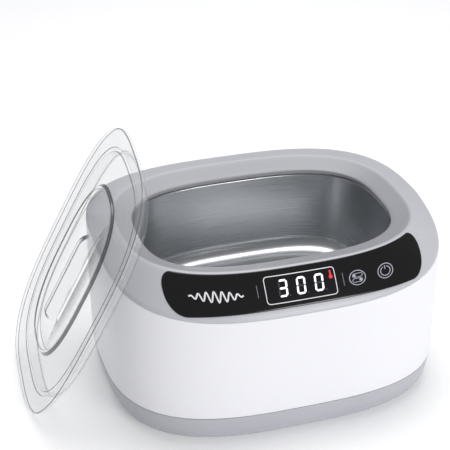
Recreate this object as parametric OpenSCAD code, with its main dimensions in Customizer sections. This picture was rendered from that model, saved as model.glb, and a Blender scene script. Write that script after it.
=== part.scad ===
// Bench-top ultrasonic cleaner with a lift-off clear lid, shown leaning on the left of the casing.
// Millimetres, +Z up, front towards -Y. The origin is the centre of the plan on the standing plane.

/* [Casing] */
// Overall width of the casing, left to right
body_w = 240; // [200:1:288]
// Overall depth of the casing, front to back
body_d = 196; // [164:1:236]
// Height of the crest that runs round the top of the casing
body_h = 123.5; // [114:0.5:150]
// Squareness of the casing's plan outline, where 2 is an ellipse
plan_power = 3; // [2.6:0.1:3.6]
// Wall thickness of the moulded casing parts
wall = 2.4; // [2:0.1:3]
// Height of the lips that register one casing part in the next
lip_h = 3; // [2:0.5:4]
// Clearance between a lip and the wall round it
lip_gap = 0.2; // [0.1:0.05:0.4]

/* [Base tray] */
// Height of the seam between the base tray and the body shell
tray_seam = 21; // [17:0.5:26]
// How far the standing edge of the tray lies inside the casing outline
base_inset = 4; // [2:0.5:7]
// Gap between the standing plane and the underside of the tray
ground_gap = 1.5; // [1:0.25:3]
// Thickness of the tray floor
floor_t = 3; // [2.5:0.25:4]
// Diameter of each rubber foot
foot_d = 16; // [12:1:20]
// Height of each rubber foot, part of it in its recess
foot_h = 3; // [2.5:0.25:5]
// Distance of the feet inside the casing outline
foot_inset = 32; // [28:1:40]

/* [Top deck] */
// Drop from the crest to the seam between deck and shell, at the sides
shoulder_drop = 7; // [5:0.5:10]
// Further drop of that seam at the front, where the control panel is
front_dip = 20; // [14:0.5:26]
// Distance from the casing side to the crest
crest_side = 16.5; // [12:0.5:22]
// Distance from the casing front and back to the crest
crest_front = 19.5; // [15:0.5:24]
// Squareness of the crest outline
crest_power = 2.8; // [2.5:0.1:3.4]
// Width of the dished rim between crest and tank opening, at the sides
dish_side = 14; // [11:0.5:18]
// Width of the dished rim at the front and back
dish_front = 16; // [12:0.5:20]
// Drop from the crest to the tank opening
dish_drop = 4.5; // [3:0.5:7]
// Wall thickness of the deck
deck_t = 2.8; // [2.6:0.1:3.2]
// Diameter of the posts that hang from the deck corners
post_d = 9; // [8:0.5:11]
// Distance of the corner posts inside the casing outline
post_inset = 10.5; // [9.5:0.5:14]

/* [Control panel] */
// Width of the glossy panel
panel_w = 181; // [150:1:190]
// Height of the panel's lower edge above the front seam
panel_low = 5; // [3:0.5:8]
// Distance of the panel's upper edge below the crest
panel_high = 1; // [0.5:0.5:5]
// Corner radius of the panel
panel_r = 9; // [5:0.5:10]
// Thickness of the panel
panel_t = 1.6; // [1.2:0.1:2]
// How far the panel stands proud of the deck
panel_proud = 0.4; // [0.1:0.1:0.8]
// Clearance round and behind the panel
panel_gap = 0.1; // [0.05:0.05:0.2]
// Sideways place of the display
display_x = -3; // [-12:0.5:8]
// Width of the display module
display_w = 38; // [30:0.5:44]
// Height of the display module along the slope
display_h = 15; // [12:0.5:16]
// Sideways place of the mode key
mode_x = 37; // [32:0.5:40]
// Sideways place of the power key
power_x = 58; // [50:0.5:60]
// Clearance between the touch board's outer end and the deck in front of it
board_clear = 2.1; // [1.5:0.1:4]
// Diameter of the touch springs
spring_d = 7; // [5:0.5:8]

/* [Tank] */
// Sheet thickness of the tank
tank_t = 0.8; // [0.6:0.1:1.2]
// Width of the flange round the tank
flange_w = 8; // [6:0.5:10]
// How far the tank wall draws in from opening to floor
tank_draft = 5; // [3:0.5:8]
// Radius between tank wall and tank floor
tank_floor_r = 12; // [8:0.5:16]
// Thickness of the seal between tank flange and deck
seal_t = 1.2; // [0.8:0.1:2]
// Overhang of the deck over the tank wall
drip_edge = 1; // [0.5:0.25:2]
// Free height between the transducer stack and the tray floor
stack_gap = 8; // [5:0.5:14]

/* [Transducer] */
// Diameter of the radiating face
horn_d = 44; // [38:1:52]
// Height of the front mass
horn_h = 17; // [14:0.5:22]
// Diameter of the piezo rings and the back mass
ring_d = 38; // [30:1:38]
// Thickness of each piezo ring
ring_t = 4; // [3:0.5:6]
// Bore of the piezo rings
ring_bore = 15; // [12:0.5:17]
// Thickness of each electrode
electrode_t = 0.3; // [0.2:0.1:0.5]
// Height of the back mass
back_h = 11; // [8:0.5:16]
// Diameter of the pre-load bolt
bolt_d = 8; // [6:1:10]

/* [Lid] */
// Gap between lid edge and crest at the sides
lid_side_gap = 2.5; // [1.5:0.25:5]
// Gap between lid edge and crest at the front and back
lid_front_gap = 8; // [5:0.25:10]
// Squareness of the lid outline
lid_power = 3.2; // [2.6:0.1:3.6]
// Thickness of the lid plate
lid_t = 3; // [2.5:0.1:4]
// Depth of the skirt below the plate
skirt_h = 9; // [5:0.5:12]
// Wall thickness of the skirt
skirt_t = 2; // [1.6:0.1:3]
// Clearance between skirt and tank opening
skirt_gap = 1.5; // [0.75:0.25:3]
// Length of the oval finger pocket
pocket_l = 124; // [100:1:136]
// Width of the oval finger pocket
pocket_w = 71; // [60:1:80]
// Floor thickness of the pocket
pocket_floor = 1.2; // [1:0.1:1.6]
// Height of the raised lip round the pocket
pocket_lip = 2.2; // [1:0.1:4]
// Length of the finger grip
grip_l = 74; // [60:1:84]
// Height of the finger grip above the pocket floor
grip_h = 12.5; // [9:0.5:16]
// Thickness of the finger grip
grip_t = 5; // [3:0.5:8]
// Distance of the grip's upright face in front of the lid's middle
grip_y = 12; // [8:0.5:18]
// Angle of the leaning lid above the standing plane
lean_angle = 65; // [60:0.5:74]
// Turn of the leaning lid in its own plane
lean_twist = -8; // [-12:0.5:12]
// Place of the leaning lid behind the casing's middle
lean_y = 5; // [-10:0.5:15]
// Clearance between the leaning lid and the casing
lean_gap = 0.3; // [0.2:0.1:1]

/* [Electronics] */
// Size of the power board across the casing
board_w = 54; // [48:1:58]
// Size of the power board front to back
board_l = 92; // [84:1:96]
// Thickness of both circuit boards
board_t = 1.6; // [1.2:0.1:2]
// Height of the standoffs under the power board
standoff_h = 6; // [5:0.5:8]
// Distance of the power board from the tray wall
board_edge = 12; // [11:0.5:14]
// Height of the mains inlet above the standing plane
inlet_z = 42; // [38:0.5:50]
// Width of the mains inlet's bezel
inlet_w = 29; // [27:0.5:32]
// Height of the mains inlet's bezel
inlet_h = 21; // [20:0.5:24]

/* [Hidden] */

SEG = 64;           // stations round each plan outline
EPS = 0.01;         // overlap that makes a cut run out cleanly
seam_gap = 0.1;     // parting gap between shell and deck
screw_d = 3;        // nominal size of every self-tapping screw
screw_play = 0.05;  // clearance all round a screw in its pilot hole
head_d = 5.6;       // diameter of a screw head
head_h = 2.2;       // height of a screw head
counterbore = 0.6;  // how much wider than its head a sunk screw's hole is
pass_play = 0.4;    // how much wider than a screw the hole it passes through is
post_angle = 38.5;  // direction of the corner posts from the middle of the casing
foot_angle = 40;    // direction of the feet
tray_taper = 0.5;   // how far the casing draws in from its widest to the tray seam
lip_sink = 0.6;     // extra thickness of the tray's lip
pocket_power = 2.7; // squareness of the lid's pocket

// Plan half-sizes, as [half width, half depth]
body_half = [body_w / 2, body_d / 2];
crest_half = body_half - [crest_side, crest_front];
open_half = crest_half - [dish_side, dish_front];
tank_half = open_half + [drip_edge, drip_edge];
flange_half = tank_half + [flange_w, flange_w];
lid_half = crest_half - [lid_side_gap, lid_front_gap];
skirt_half = open_half - [skirt_gap, skirt_gap];

// Heights
tray_top = ground_gap + floor_t;
seam_z = body_h - shoulder_drop;
shoulder_h = 2.5;
open_z = body_h - dish_drop;
seat_z = open_z - deck_t - 0.4;
flange_z = seat_z - seal_t;
post_split = tray_seam + lip_h;
casing_head_z = 13;   // top of the sunk heads of the casing screws
bolt_head_h = 4.5;    // head of the transducer's pre-load bolt
clip_t = 1.2;         // thickness of the tank clips
clip_post_d = 7.5;    // posts under the crest that the tank clips screw into
touch_post_d = 5.5;   // posts behind the front slope that carry the touch board
stack_h = horn_h + 2 * ring_t + 3 * electrode_t + back_h + bolt_head_h;
tank_floor_z = tray_top + stack_gap + stack_h;

// Mid point and angle of the deck's front slope
slope_low = [-body_half.y, seam_z - front_dip];
slope_high = [-crest_half.y, body_h];
slope_mid = (slope_low + slope_high) / 2;
slope_angle = atan2(slope_high.y - slope_low.y, slope_high.x - slope_low.x);

// Touch board: its ends, its screw posts across the panel, and its depth behind the slope
touch_left = display_x - display_w / 2 - 30;
touch_right = power_x + 7;
touch_posts = [touch_left + 6, (mode_x + power_x) / 2];
touch_h = 20;
board_depth = slope_bow(touch_right) + deck_t + board_clear;

// ---------- plan outlines and lofted skins ----------

// Point at angle t on a rounded outline of half-sizes h and squareness n
function rim(t, h, n) =
  let (r = pow(pow(abs(cos(t)) / h.x, n) + pow(abs(sin(t)) / h.y, n), -1 / n))
  [r * cos(t), r * sin(t)];

function outline(h, n = plan_power) = [for (i = [0:SEG - 1]) rim(i * 360 / SEG, h, n)];

// How far a seam has dipped at a share s of the half depth, 0 at the middle and 1 at the front
function dip(s) = front_dip * pow(max(0, -s), 1.15);

// A ring of points, with the seam's dip where dipped is 1
function ring(h, z, n = plan_power, dipped = 0) =
  [for (p = outline(h, n)) [p.x, p.y, z - dipped * dip(p.y / h.y)]];

// Half-sizes drawn in by d all round
function inset(h, d) = [h.x - d, h.y - d];

// Ring part way between two rings
function between(a, b, v) = [for (i = [0:SEG - 1]) a[i] + (b[i] - a[i]) * v];

// Sideways push of each point of a ring, away from the middle and up
function pushed(r, out, up) =
  [for (p = r) let (l = norm([p.x, p.y])) p + [p.x / l * out, p.y / l * out, up]];

// Triangles between ring i and ring j of a list of rings
function strip(i, j) = [for (k = [0:SEG - 1])
  let (m = (k + 1) % SEG, a = i * SEG + k, b = i * SEG + m, c = j * SEG + m, d = j * SEG + k)
  each [[a, c, b], [a, d, c]]];

// Closed skin through rings that come back to the first one
module hoop(rings) {
  n = len(rings);
  polyhedron([for (r = rings) each r], [for (i = [0:n - 1]) each strip(i, (i + 1) % n)]);
}

// Closed skin through rings, with a flat cap on the first and the last
module cup(rings) {
  n = len(rings);
  last = (n - 1) * SEG;
  polyhedron([for (r = rings) each r],
    concat([for (i = [0:n - 2]) each strip(i, i + 1)],
      [[for (k = [0:SEG - 1]) k]],
      [[for (k = [0:SEG - 1]) last + SEG - 1 - k]]));
}

// ---------- small shared shapes ----------

// Places its children at one mirrored set of corners of an outline drawn in by d
module at_corners(d, angle) {
  p = rim(angle, inset(body_half, d), plan_power);
  for (sx = [-1, 1], sy = [-1, 1]) translate([sx * p.x, sy * p.y, 0]) children();
}

// Self-tapping screw with its head below z = 0 and its shank going up
module screw_up(length) {
  translate([0, 0, -head_h]) cylinder(d = head_d, h = head_h, $fn = 32);
  cylinder(d = screw_d - 2 * screw_play, h = length, $fn = 32);
}

// Path with each inner corner rounded off over a length r
function rounded(path, r) = [
  path[0],
  for (i = [1:len(path) - 2], k = [0:4])
    let (a = path[i] + r * unit(path[i - 1] - path[i]), b = path[i] + r * unit(path[i + 1] - path[i]), t = k / 4)
    a * (1 - t) * (1 - t) + path[i] * 2 * t * (1 - t) + b * t * t,
  path[len(path) - 1]
];
function unit(v) = v / norm(v);

// Direction of a path at point i
function heading(path, i) =
  let (last = len(path) - 1, a = path[max(0, i - 1)], b = path[i], c = path[min(last, i + 1)])
  i == 0 ? unit(c - b) : i == last ? unit(b - a) : unit(unit(b - a) + unit(c - b));

// Insulated wire of diameter d along a path with rounded bends
module wire(corners, d) {
  path = rounded(corners, 3);
  last = len(path) - 1;
  sides = 12;
  odd = cross(heading(path, 0), [0.36, 0.48, 0.8]);
  rings = [for (i = 0, u = unit(odd); i <= last;
    i = i + 1, u = i > last ? u : unit(u - (u * heading(path, i)) * heading(path, i)))
    let (w = cross(heading(path, i), u))
    [for (k = [0:sides - 1]) path[i] + d / 2 * (cos(k * 360 / sides) * u + sin(k * 360 / sides) * w)]];
  sleeve(rings, sides);
}

// Closed skin through rings of any count, with flat caps
module sleeve(rings, sides) {
  last = (len(rings) - 1) * sides;
  polyhedron([for (r = rings) each r], concat(
    [for (i = [0:len(rings) - 2], k = [0:sides - 1])
      let (m = (k + 1) % sides, a = i * sides + k, b = i * sides + m)
      each [[a, b + sides, b], [a, a + sides, b + sides]]],
    [[for (k = [0:sides - 1]) k], [for (k = [0:sides - 1]) last + sides - 1 - k]]));
}

// Moves its children onto the deck's front slope: X right, Y up the slope, Z out of it
module on_slope() {
  translate([0, slope_mid.x, slope_mid.y]) rotate([slope_angle, 0, 0]) children();
}

// How far the slope's surface has fallen back at a place x off the middle
function slope_bow(x) =
  let (seam_y = slope_low.x * pow(1 - pow(abs(x) / body_half.x, plan_power), 1 / plan_power),
    crest_y = slope_high.x * pow(1 - pow(abs(x) / crest_half.x, crest_power), 1 / crest_power))
  ((seam_y - slope_low.x) + (crest_y - slope_high.x)) / 2 * sin(slope_angle);

// ---------- casing ----------

// Rings of the deck's outer skin between seam and crest, moved out of the surface by d
seam_ring = ring(body_half, seam_z, dipped = 1);
shoulder_ring = pushed(seam_ring, -0.8, shoulder_h);
crest_ring = ring(crest_half, body_h, crest_power);
slope_bulge = 0.7;
function slope_rings(d) =
  [for (v = [0, 0.5, 0.88])
    pushed(between(shoulder_ring, crest_ring, v), (d + 4 * slope_bulge * v * (1 - v)) * 0.6,
      (d + 4 * slope_bulge * v * (1 - v)) * 0.8)];

module base_tray() {
  edge = inset(body_half, base_inset);
  top = inset(body_half, tray_taper);
  bottom_chamfer = 2;
  color("#c4c5ca") difference() {
    union() {
      cup([
        ring(inset(edge, bottom_chamfer), ground_gap), ring(edge, ground_gap + bottom_chamfer),
        ring(inset(body_half, 1.6), tray_seam * 0.6), ring(top, tray_seam),
        ring(inset(top, wall / 2), tray_seam), ring(inset(top, wall / 2 + lip_gap), tray_seam + 0.4),
        ring(inset(top, wall / 2 + lip_gap), tray_seam + lip_h),
        ring(inset(top, wall + lip_sink), tray_seam + lip_h), ring(inset(top, wall + lip_sink), tray_seam - 1),
        ring(inset(edge, wall), tray_top + 2), ring(inset(edge, wall + 2), tray_top)
      ]);
      at_corners(post_inset, post_angle) translate([0, 0, tray_top - 1])
        cylinder(d = post_d, h = post_split - lip_gap - tray_top + 1, $fn = 48);
      board_standoffs();
    }
    at_corners(post_inset, post_angle) {
      cylinder(d = screw_d + pass_play, h = post_split + 1, $fn = 32);
      cylinder(d = head_d + counterbore, h = casing_head_z, $fn = 32);
    }
    at_corners(foot_inset, foot_angle)
      translate([0, 0, ground_gap - EPS]) cylinder(d = foot_d, h = foot_h - ground_gap + EPS, $fn = 48);
    vent_slots();
    board_screw_places() translate([0, 0, tray_top]) cylinder(d = screw_d, h = standoff_h + 1, $fn = 32);
  }
}

// Rows of slots in the tray floor under the transducer
module vent_slots() {
  slot = [26, 3];
  pitch = 8;
  middle = 22;
  for (i = [-3:3], s = [-1, 1])
    translate([s * middle, i * pitch, tray_top]) cube([slot.x, slot.y, 3 * floor_t], center = true);
}

module body_shell() {
  low = inset(body_half, tray_taper);
  color("#f4f4f7") difference() {
    hoop([
      ring(low, tray_seam), ring(inset(body_half, 0.1), tray_seam + 18),
      ring(body_half, (tray_seam + seam_z - front_dip) / 2 + 6),
      ring(body_half, seam_z - seam_gap, dipped = 1),
      ring(inset(body_half, wall / 2), seam_z - seam_gap, dipped = 1),
      ring(inset(body_half, wall / 2), seam_z - lip_h - lip_gap, dipped = 1),
      ring(inset(body_half, wall), seam_z - lip_h - lip_gap - 1, dipped = 1),
      ring(inset(low, wall), tray_seam + lip_h + lip_gap + 1.5),
      ring(inset(low, wall / 2), tray_seam + lip_h + lip_gap),
      ring(inset(low, wall / 2), tray_seam)
    ]);
    translate([0, body_half.y, inlet_z]) cube([inlet_hole().x, 6 * wall, inlet_hole().y], center = true);
  }
}

module top_deck() {
  under = deck_t * 0.95;
  color("#c9cbcf") difference() {
    union() {
      hoop(concat([seam_ring], slope_rings(0), [
        crest_ring,
        ring(inset(crest_half, 2.2), body_h - 0.5, crest_power),
        ring(inset(open_half, -1.2), open_z + 0.25),
        ring(open_half, open_z - 0.8), ring(open_half, seat_z),
        ring(flange_half, seat_z),
        ring(inset(crest_half, 2), body_h - under - 1.2, crest_power),
        pushed(between(shoulder_ring, crest_ring, 0.5), -under * 0.7, -under * 0.6),
        ring(inset(body_half, wall + 0.2), seam_z - 0.2, dipped = 1),
        ring(inset(body_half, wall + 0.2), seam_z - lip_h, dipped = 1),
        ring(inset(body_half, wall / 2 + lip_gap), seam_z - lip_h, dipped = 1),
        ring(inset(body_half, wall / 2 + lip_gap), seam_z - 0.2, dipped = 1),
        ring(inset(body_half, wall / 2 + lip_gap), seam_z, dipped = 1)
      ]));
      corner_posts();
      clip_places() translate([0, 0, flange_z - tank_t])
        cylinder(d = clip_post_d, h = body_h - deck_t * 0.8 - flange_z + tank_t, $fn = 48);
      for (x = touch_posts) board_post_places([x]) translate([0, 0, -board_depth])
        cylinder(d = touch_post_d, h = board_depth - slope_bow(x) - deck_t / 2, $fn = 32);
    }
    panel_body(panel_gap);
    at_corners(post_inset, post_angle)
      translate([0, 0, post_split - EPS]) cylinder(d = screw_d, h = 14, $fn = 32);
    clip_places() translate([0, 0, flange_z - tank_t - EPS]) cylinder(d = screw_d, h = 6.5, $fn = 32);
    on_slope() {
      translate([display_x, 0, -deck_t])
        cube([display_w + 1, display_h + 1, 4 * deck_t], center = true);
      for (x = [mode_x, power_x]) translate([x, 0, -board_depth])
        cylinder(d = spring_d + spring_play, h = 2 * board_depth, $fn = 48);
    }
    board_post_places() translate([0, 0, -board_depth - EPS]) cylinder(d = screw_d, h = 4.5, $fn = 32);
  }
}

// Height of the deck's outer surface above a point, between seam and crest
function deck_surface(p) =
  let (a = atan2(p.y, p.x), r = norm(p),
    s = norm(rim(a, body_half, plan_power)), c = norm(rim(a, crest_half, crest_power)),
    v = max(0, min(1, (s - r) / (s - c))), low = seam_z + shoulder_h - dip(sin(a) * s / body_half.y))
  low + (body_h - low) * v;

// Posts that carry the deck on the tray, stopped inside the deck's wall
module corner_posts() {
  q = rim(post_angle, inset(body_half, post_inset), plan_power);
  for (sx = [-1, 1], sy = [-1, 1]) {
    p = [sx * q.x, sy * q.y];
    out = p * (1 + post_d / 2 / norm(p));
    top = min(deck_surface(p), deck_surface(out) + 1.2) - deck_t * 0.6;
    translate([p.x, p.y, post_split]) cylinder(d = post_d, h = top - post_split, $fn = 48);
  }
}

// ---------- control panel ----------

// Panel on the slope, grown by g for its recess
module panel_body(g) {
  low_z = slope_low.y + panel_low - g;
  high_z = body_h - panel_high + g;
  w = panel_w / 2 + g;
  r = panel_r + g;
  out = g > 0 ? 3 : panel_proud;
  intersection() {
    hoop(concat(slope_rings(out),
      [pushed(crest_ring, out * 0.2, out), pushed(crest_ring, -3, 0.2 + out),
        pushed(crest_ring, -3 , -panel_t)],
      [for (i = [2:-1:0]) slope_rings(panel_proud - panel_t - g)[i]]));
    translate([0, -crest_half.y * 0.55, 0]) rotate([90, 0, 0])
      linear_extrude(body_d) hull()
        for (sx = [-1, 1], z = [low_z + r, high_z - r]) translate([sx * (w - r), z]) circle(r = r, $fn = 32);
  }
}

module control_panel() { color("#101012") panel_body(0); }

module display_module() {
  h = board_depth - panel_t + panel_proud - display_gap;
  color("#1c1c20") on_slope()
    translate([display_x - display_w / 2, -display_h / 2, -board_depth]) cube([display_w, display_h, h]);
}

// Screw posts of the touch board, beside the display and between the keys
module board_post_places(across = touch_posts) {
  y = touch_h / 2 - 3.5;
  on_slope() for (x = across, s = [-1, 1]) translate([x, s * y, 0]) children();
}

module touch_board() {
  color("#2f6b43") difference() {
    on_slope() translate([touch_left, -touch_h / 2, -board_depth - board_t])
      cube([touch_right - touch_left, touch_h, board_t]);
    board_post_places() translate([0, 0, -board_depth - board_t - EPS])
      cylinder(d = screw_d + 0.3, h = board_t + 2 * EPS, $fn = 32);
  }
}

coil_wire = 0.6;     // wire of the touch springs
spring_play = 2;     // how much wider than a touch spring its hole in the deck is
key_gap = 0.6;       // free height between a touch spring and the panel
display_gap = 0.4;   // free height between the display and the panel

module touch_springs() {
  color("#d8d8d2") on_slope() for (x = [mode_x, power_x])
    translate([x, 0, -board_depth]) rotate_extrude($fn = 48)
      translate([spring_d / 2 - coil_wire, 0])
        square([coil_wire, board_depth - slope_bow(x) - panel_t + panel_proud - key_gap]);
}

module touch_board_screws() {
  color("#8d9096") board_post_places() translate([0, 0, -board_depth - board_t]) screw_up(board_t + 4);
}

// ---------- tank ----------

// Rings of the tank's inner face, moved out by d, from the height top down to the floor
function tank_face(d, top) =
  let (r = tank_floor_r - tank_t + d, bend_z = tank_floor_z + tank_floor_r)
  concat([ring(inset(tank_half, -d), top)],
    [for (a = [0, 30, 60, 90])
      ring(inset(tank_half, tank_draft - d + r * (1 - cos(a))), bend_z - r * sin(a))]);

flange_play = 0.5;   // clearance round the tank flange in its seat

module tank() {
  inner = tank_face(0, flange_z - 1);
  outer = tank_face(tank_t, flange_z - tank_t);
  color("#b9bdc2") cup(concat(
    [for (i = [len(outer) - 1:-1:0]) outer[i]],
    [ring(inset(flange_half, flange_play), flange_z - tank_t), ring(inset(flange_half, flange_play), flange_z),
      ring(inset(tank_half, -1), flange_z)],
    inner));
}

module tank_seal() {
  color("#e3e3e0") translate([0, 0, flange_z]) linear_extrude(seal_t) difference() {
    polygon(outline(inset(flange_half, 2 * flange_play)));
    polygon(outline(inset(tank_half, -1.2)));
  }
}

clip_screw_out = 5;  // distance of a clip's screw beyond the tank flange
clip_pitch = 48;     // distance between the two clips on one side
clip_size = [16, 12];

// Screw places of the four tank clips, beyond the flange
module clip_places() {
  for (sx = [-1, 1], sy = [-1, 1])
    translate([sx * (flange_half.x + clip_screw_out), sy * clip_pitch / 2, 0]) children();
}

module tank_clips() {
  color("#a9adb2") difference() {
    clip_places() translate([-clip_size.x / 2, -clip_size.y / 2, flange_z - tank_t - clip_t])
      cube([clip_size.x, clip_size.y, clip_t]);
    clip_places() translate([0, 0, flange_z - tank_t - clip_t - EPS])
      cylinder(d = screw_d + pass_play, h = clip_t + 2 * EPS, $fn = 32);
  }
}

module clip_screws() {
  color("#8d9096") clip_places()
    translate([0, 0, flange_z - tank_t - clip_t]) screw_up(clip_t + 6);
}

// ---------- transducer stack, hung under the tank floor ----------

ring_top = tank_floor_z - horn_h;
back_top = ring_top - 2 * ring_t - 3 * electrode_t;

module front_mass() {
  neck = 5;
  color("#c8ccd0") difference() {
    translate([0, 0, ring_top]) rotate_extrude($fn = 96) polygon([
      [0, 0], [ring_d / 2, 0], [ring_d / 2, neck], [horn_d / 2, horn_h - 3], [horn_d / 2, horn_h], [0, horn_h]
    ]);
    translate([0, 0, ring_top - EPS]) cylinder(d = bolt_d, h = horn_h * 0.7, $fn = 48);
  }
}

module piezo_rings() {
  color("#6d6a62") for (i = [0, 1])
    translate([0, 0, ring_top - (i + 1) * (ring_t + electrode_t)]) difference() {
      cylinder(d = ring_d, h = ring_t, $fn = 96);
      translate([0, 0, -EPS]) cylinder(d = ring_bore, h = ring_t + 2 * EPS, $fn = 64);
    }
}

module electrodes() {
  tab = [7, 8];
  color("#c98b4b") for (i = [0, 1, 2])
    translate([0, 0, ring_top - electrode_t - i * (ring_t + electrode_t)]) difference() {
      union() {
        cylinder(d = ring_d - 1, h = electrode_t, $fn = 96);
        rotate([0, 0, i % 2 * 40]) translate([ring_d / 2 - 2, -tab.y / 2, 0]) cube([tab.x, tab.y, electrode_t]);
      }
      translate([0, 0, -EPS]) cylinder(d = ring_bore, h = electrode_t + 2 * EPS, $fn = 64);
    }
}

module back_mass() {
  color("#8b8f94") difference() {
    translate([0, 0, back_top - back_h]) cylinder(d = ring_d, h = back_h, $fn = 96);
    translate([0, 0, back_top - back_h - EPS]) cylinder(d = bolt_d + 0.4, h = back_h + 2 * EPS, $fn = 48);
  }
}

module preload_bolt() {
  head = bolt_head_h;
  color("#6f7378") translate([0, 0, back_top - back_h - head]) difference() {
    union() {
      cylinder(d = bolt_d * 1.6, h = head, $fn = 48);
      cylinder(d = bolt_d - 0.1, h = head + back_h + 2 * ring_t + 3 * electrode_t + horn_h * 0.6, $fn = 48);
    }
    translate([0, 0, -EPS]) cylinder(d = 5, h = 2.5, $fn = 6);
  }
}

// ---------- heater ----------

mat_t = 1.5;
mat_half = inset(tank_half, tank_draft + tank_floor_r + 7.5);
cutout_d = 16;
cutout_x = -mat_half.x + 14;

module heater_mat() {
  color("#b5582f") translate([0, 0, tank_floor_z - mat_t]) difference() {
    linear_extrude(mat_t) polygon(outline(mat_half, 4));
    translate([0, 0, -EPS]) cylinder(d = horn_d + 4, h = mat_t + 1, $fn = 64);
    translate([cutout_x, 0, -EPS]) cylinder(d = cutout_d + 2, h = mat_t + 1, $fn = 48);
  }
}

module thermal_cutout() {
  body_t = 5;
  color("#dfd6c2") translate([cutout_x, 0, tank_floor_z - body_t]) {
    cylinder(d = cutout_d, h = body_t, $fn = 48);
    for (s = [-1, 1]) translate([s * 4 - 0.4, -3, -6]) cube([0.8, 6, 6]);
  }
}

// ---------- power board and what it carries ----------

board_z = tray_top + standoff_h;
board_right = body_half.x - base_inset - wall - board_edge;
board_left = board_right - board_w;
board_mid = (board_left + board_right) / 2;
part_z = board_z + board_t;
board_screw_inset = 4;

module board_screw_places() {
  for (x = [board_left + board_screw_inset, board_right - board_screw_inset], sy = [-1, 1])
    translate([x, sy * (board_l / 2 - board_screw_inset), 0]) children();
}

module board_standoffs() {
  board_screw_places() translate([0, 0, tray_top - 1]) cylinder(d = 7, h = standoff_h + 1, $fn = 32);
}

module power_board() {
  color("#3a7a3f") difference() {
    translate([board_left, -board_l / 2, board_z]) cube([board_w, board_l, board_t]);
    board_screw_places() translate([0, 0, board_z - EPS])
      cylinder(d = screw_d + pass_play, h = board_t + 2 * EPS, $fn = 32);
  }
}

module power_board_screws() {
  color("#8d9096") board_screw_places() translate([0, 0, part_z]) rotate([180, 0, 0]) screw_up(board_t + 5);
}

module transformer() {
  core = [26, 22, 20];
  color("#d9b64a") translate([board_mid + 8, 28, part_z]) {
    translate([-core.x / 2, -core.y / 2 + 4, 3]) cube([core.x, core.y - 8, core.z]);
    translate([-9, -core.y / 2, 0]) cube([18, core.y, core.z + 1]);
  }
}

module heat_sink() {
  plate = [4, 44, 30];
  fins = 5;
  color("#9fa3a8") translate([board_left + 3, -30, part_z]) {
    cube(plate);
    for (i = [0:fins - 1]) translate([plate.x - EPS, 1 + i * (plate.y - 4) / (fins - 1), 0]) cube([9, 2, plate.z]);
  }
}

module power_transistors() {
  can = [4.6, 10, 16];
  color("#26262a") for (y = [-26, -4])
    translate([board_left + 3 - can.x, y, part_z + 4]) {
      cube(can);
      for (i = [-1, 0, 1]) translate([can.x / 2 - 0.4, can.y / 2 + i * 2.5 - 0.4, -2.5]) cube([0.8, 0.8, 2.5]);
    }
}

module capacitors() {
  color("#2a3350") {
    translate([board_right - 12, -30, part_z]) cylinder(d = 18, h = 28, $fn = 64);
    translate([board_right - 8, -12, part_z]) cylinder(d = 10, h = 16, $fn = 48);
    translate([board_mid + 2, 42 - 34, part_z]) cylinder(d = 10, h = 16, $fn = 48);
  }
}

module choke() {
  color("#b06a35") translate([board_right - 11, 5, part_z + 9]) rotate([90, 0, 0])
    rotate_extrude($fn = 64) translate([6, 0]) circle(d = 6, $fn = 32);
}

module relay() {
  color("#2c5fa8") translate([board_left + 4, 19, part_z]) cube([15, 19, 15.5]);
}

module fuse() {
  length = 20;
  color("#d7dadd") translate([board_right - 26, -length / 2 - 24, part_z + 4])
    rotate([-90, 0, 0]) cylinder(d = 5, h = length, $fn = 32);
  color("#b9bdc2") for (y = [-33.5, -18.5])
    translate([board_right - 29, y, part_z]) cube([6, 5, 1.6]);
}

// ---------- mains inlet ----------

function inlet_hole() = [inlet_w - 3, inlet_h - 3];
inlet_out = 1.6;   // bezel thickness outside the shell
inlet_in = 17;     // depth of the socket inside the shell
pin_pitch = 8.6;

module inlet_socket() {
  cavity = 12;
  y0 = body_half.y;
  color("#18181a") difference() {
    union() {
      translate([-inlet_w / 2, y0, inlet_z - inlet_h / 2]) cube([inlet_w, inlet_out, inlet_h]);
      translate([-inlet_hole().x / 2 + 0.15, y0 - inlet_in, inlet_z - inlet_hole().y / 2 + 0.15])
        cube([inlet_hole().x - 0.3, inlet_in + EPS, inlet_hole().y - 0.3]);
    }
    translate([0, y0 + inlet_out - cavity, inlet_z]) rotate([-90, 0, 0]) {
      for (s = [-1, 1]) translate([s * pin_pitch / 2, 0, 0]) cylinder(d = 8, h = cavity + 1, $fn = 48);
      translate([-pin_pitch / 2, -2.6, 0]) cube([pin_pitch, 5.2, cavity + 1]);
    }
    for (s = [-1, 1]) translate([s * pin_pitch / 2, y0 - inlet_in - EPS, inlet_z])
      rotate([-90, 0, 0]) cylinder(d = 2.4, h = inlet_in, $fn = 32);
  }
}

module inlet_pins() {
  color("#c9ccd0") for (s = [-1, 1])
    translate([s * pin_pitch / 2, body_half.y - inlet_in - 5, inlet_z]) rotate([-90, 0, 0])
      cylinder(d = 2.3, h = inlet_in + 4, $fn = 32);
}

// ---------- internal wiring ----------

lead_d = 1.8;

module mains_leads() {
  back = body_half.y - inlet_in - 5;
  color("#2f2f33") for (s = [-1, 1]) {
    turn = back - 8 + 2 * s;
    end = [board_left + 24 + 3 * s, 43];
    wire([[s * pin_pitch / 2, back, inlet_z], [s * pin_pitch / 2, turn, inlet_z],
      [end.x, turn, part_z + 26], [end.x, end.y, part_z + 10], [end.x, end.y, part_z]], lead_d);
  }
}

module transducer_leads() {
  tab = ring_d / 2 + 3.5;
  end = [board_left + 9, -40];
  color("#c23b33") wire([[tab, 0, back_top], [tab, 0, back_top - 8],
    [board_left - 4, end.y + 4, part_z + 8], [end.x, end.y, part_z + 8], [end.x, end.y, part_z]], lead_d);
}

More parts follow.
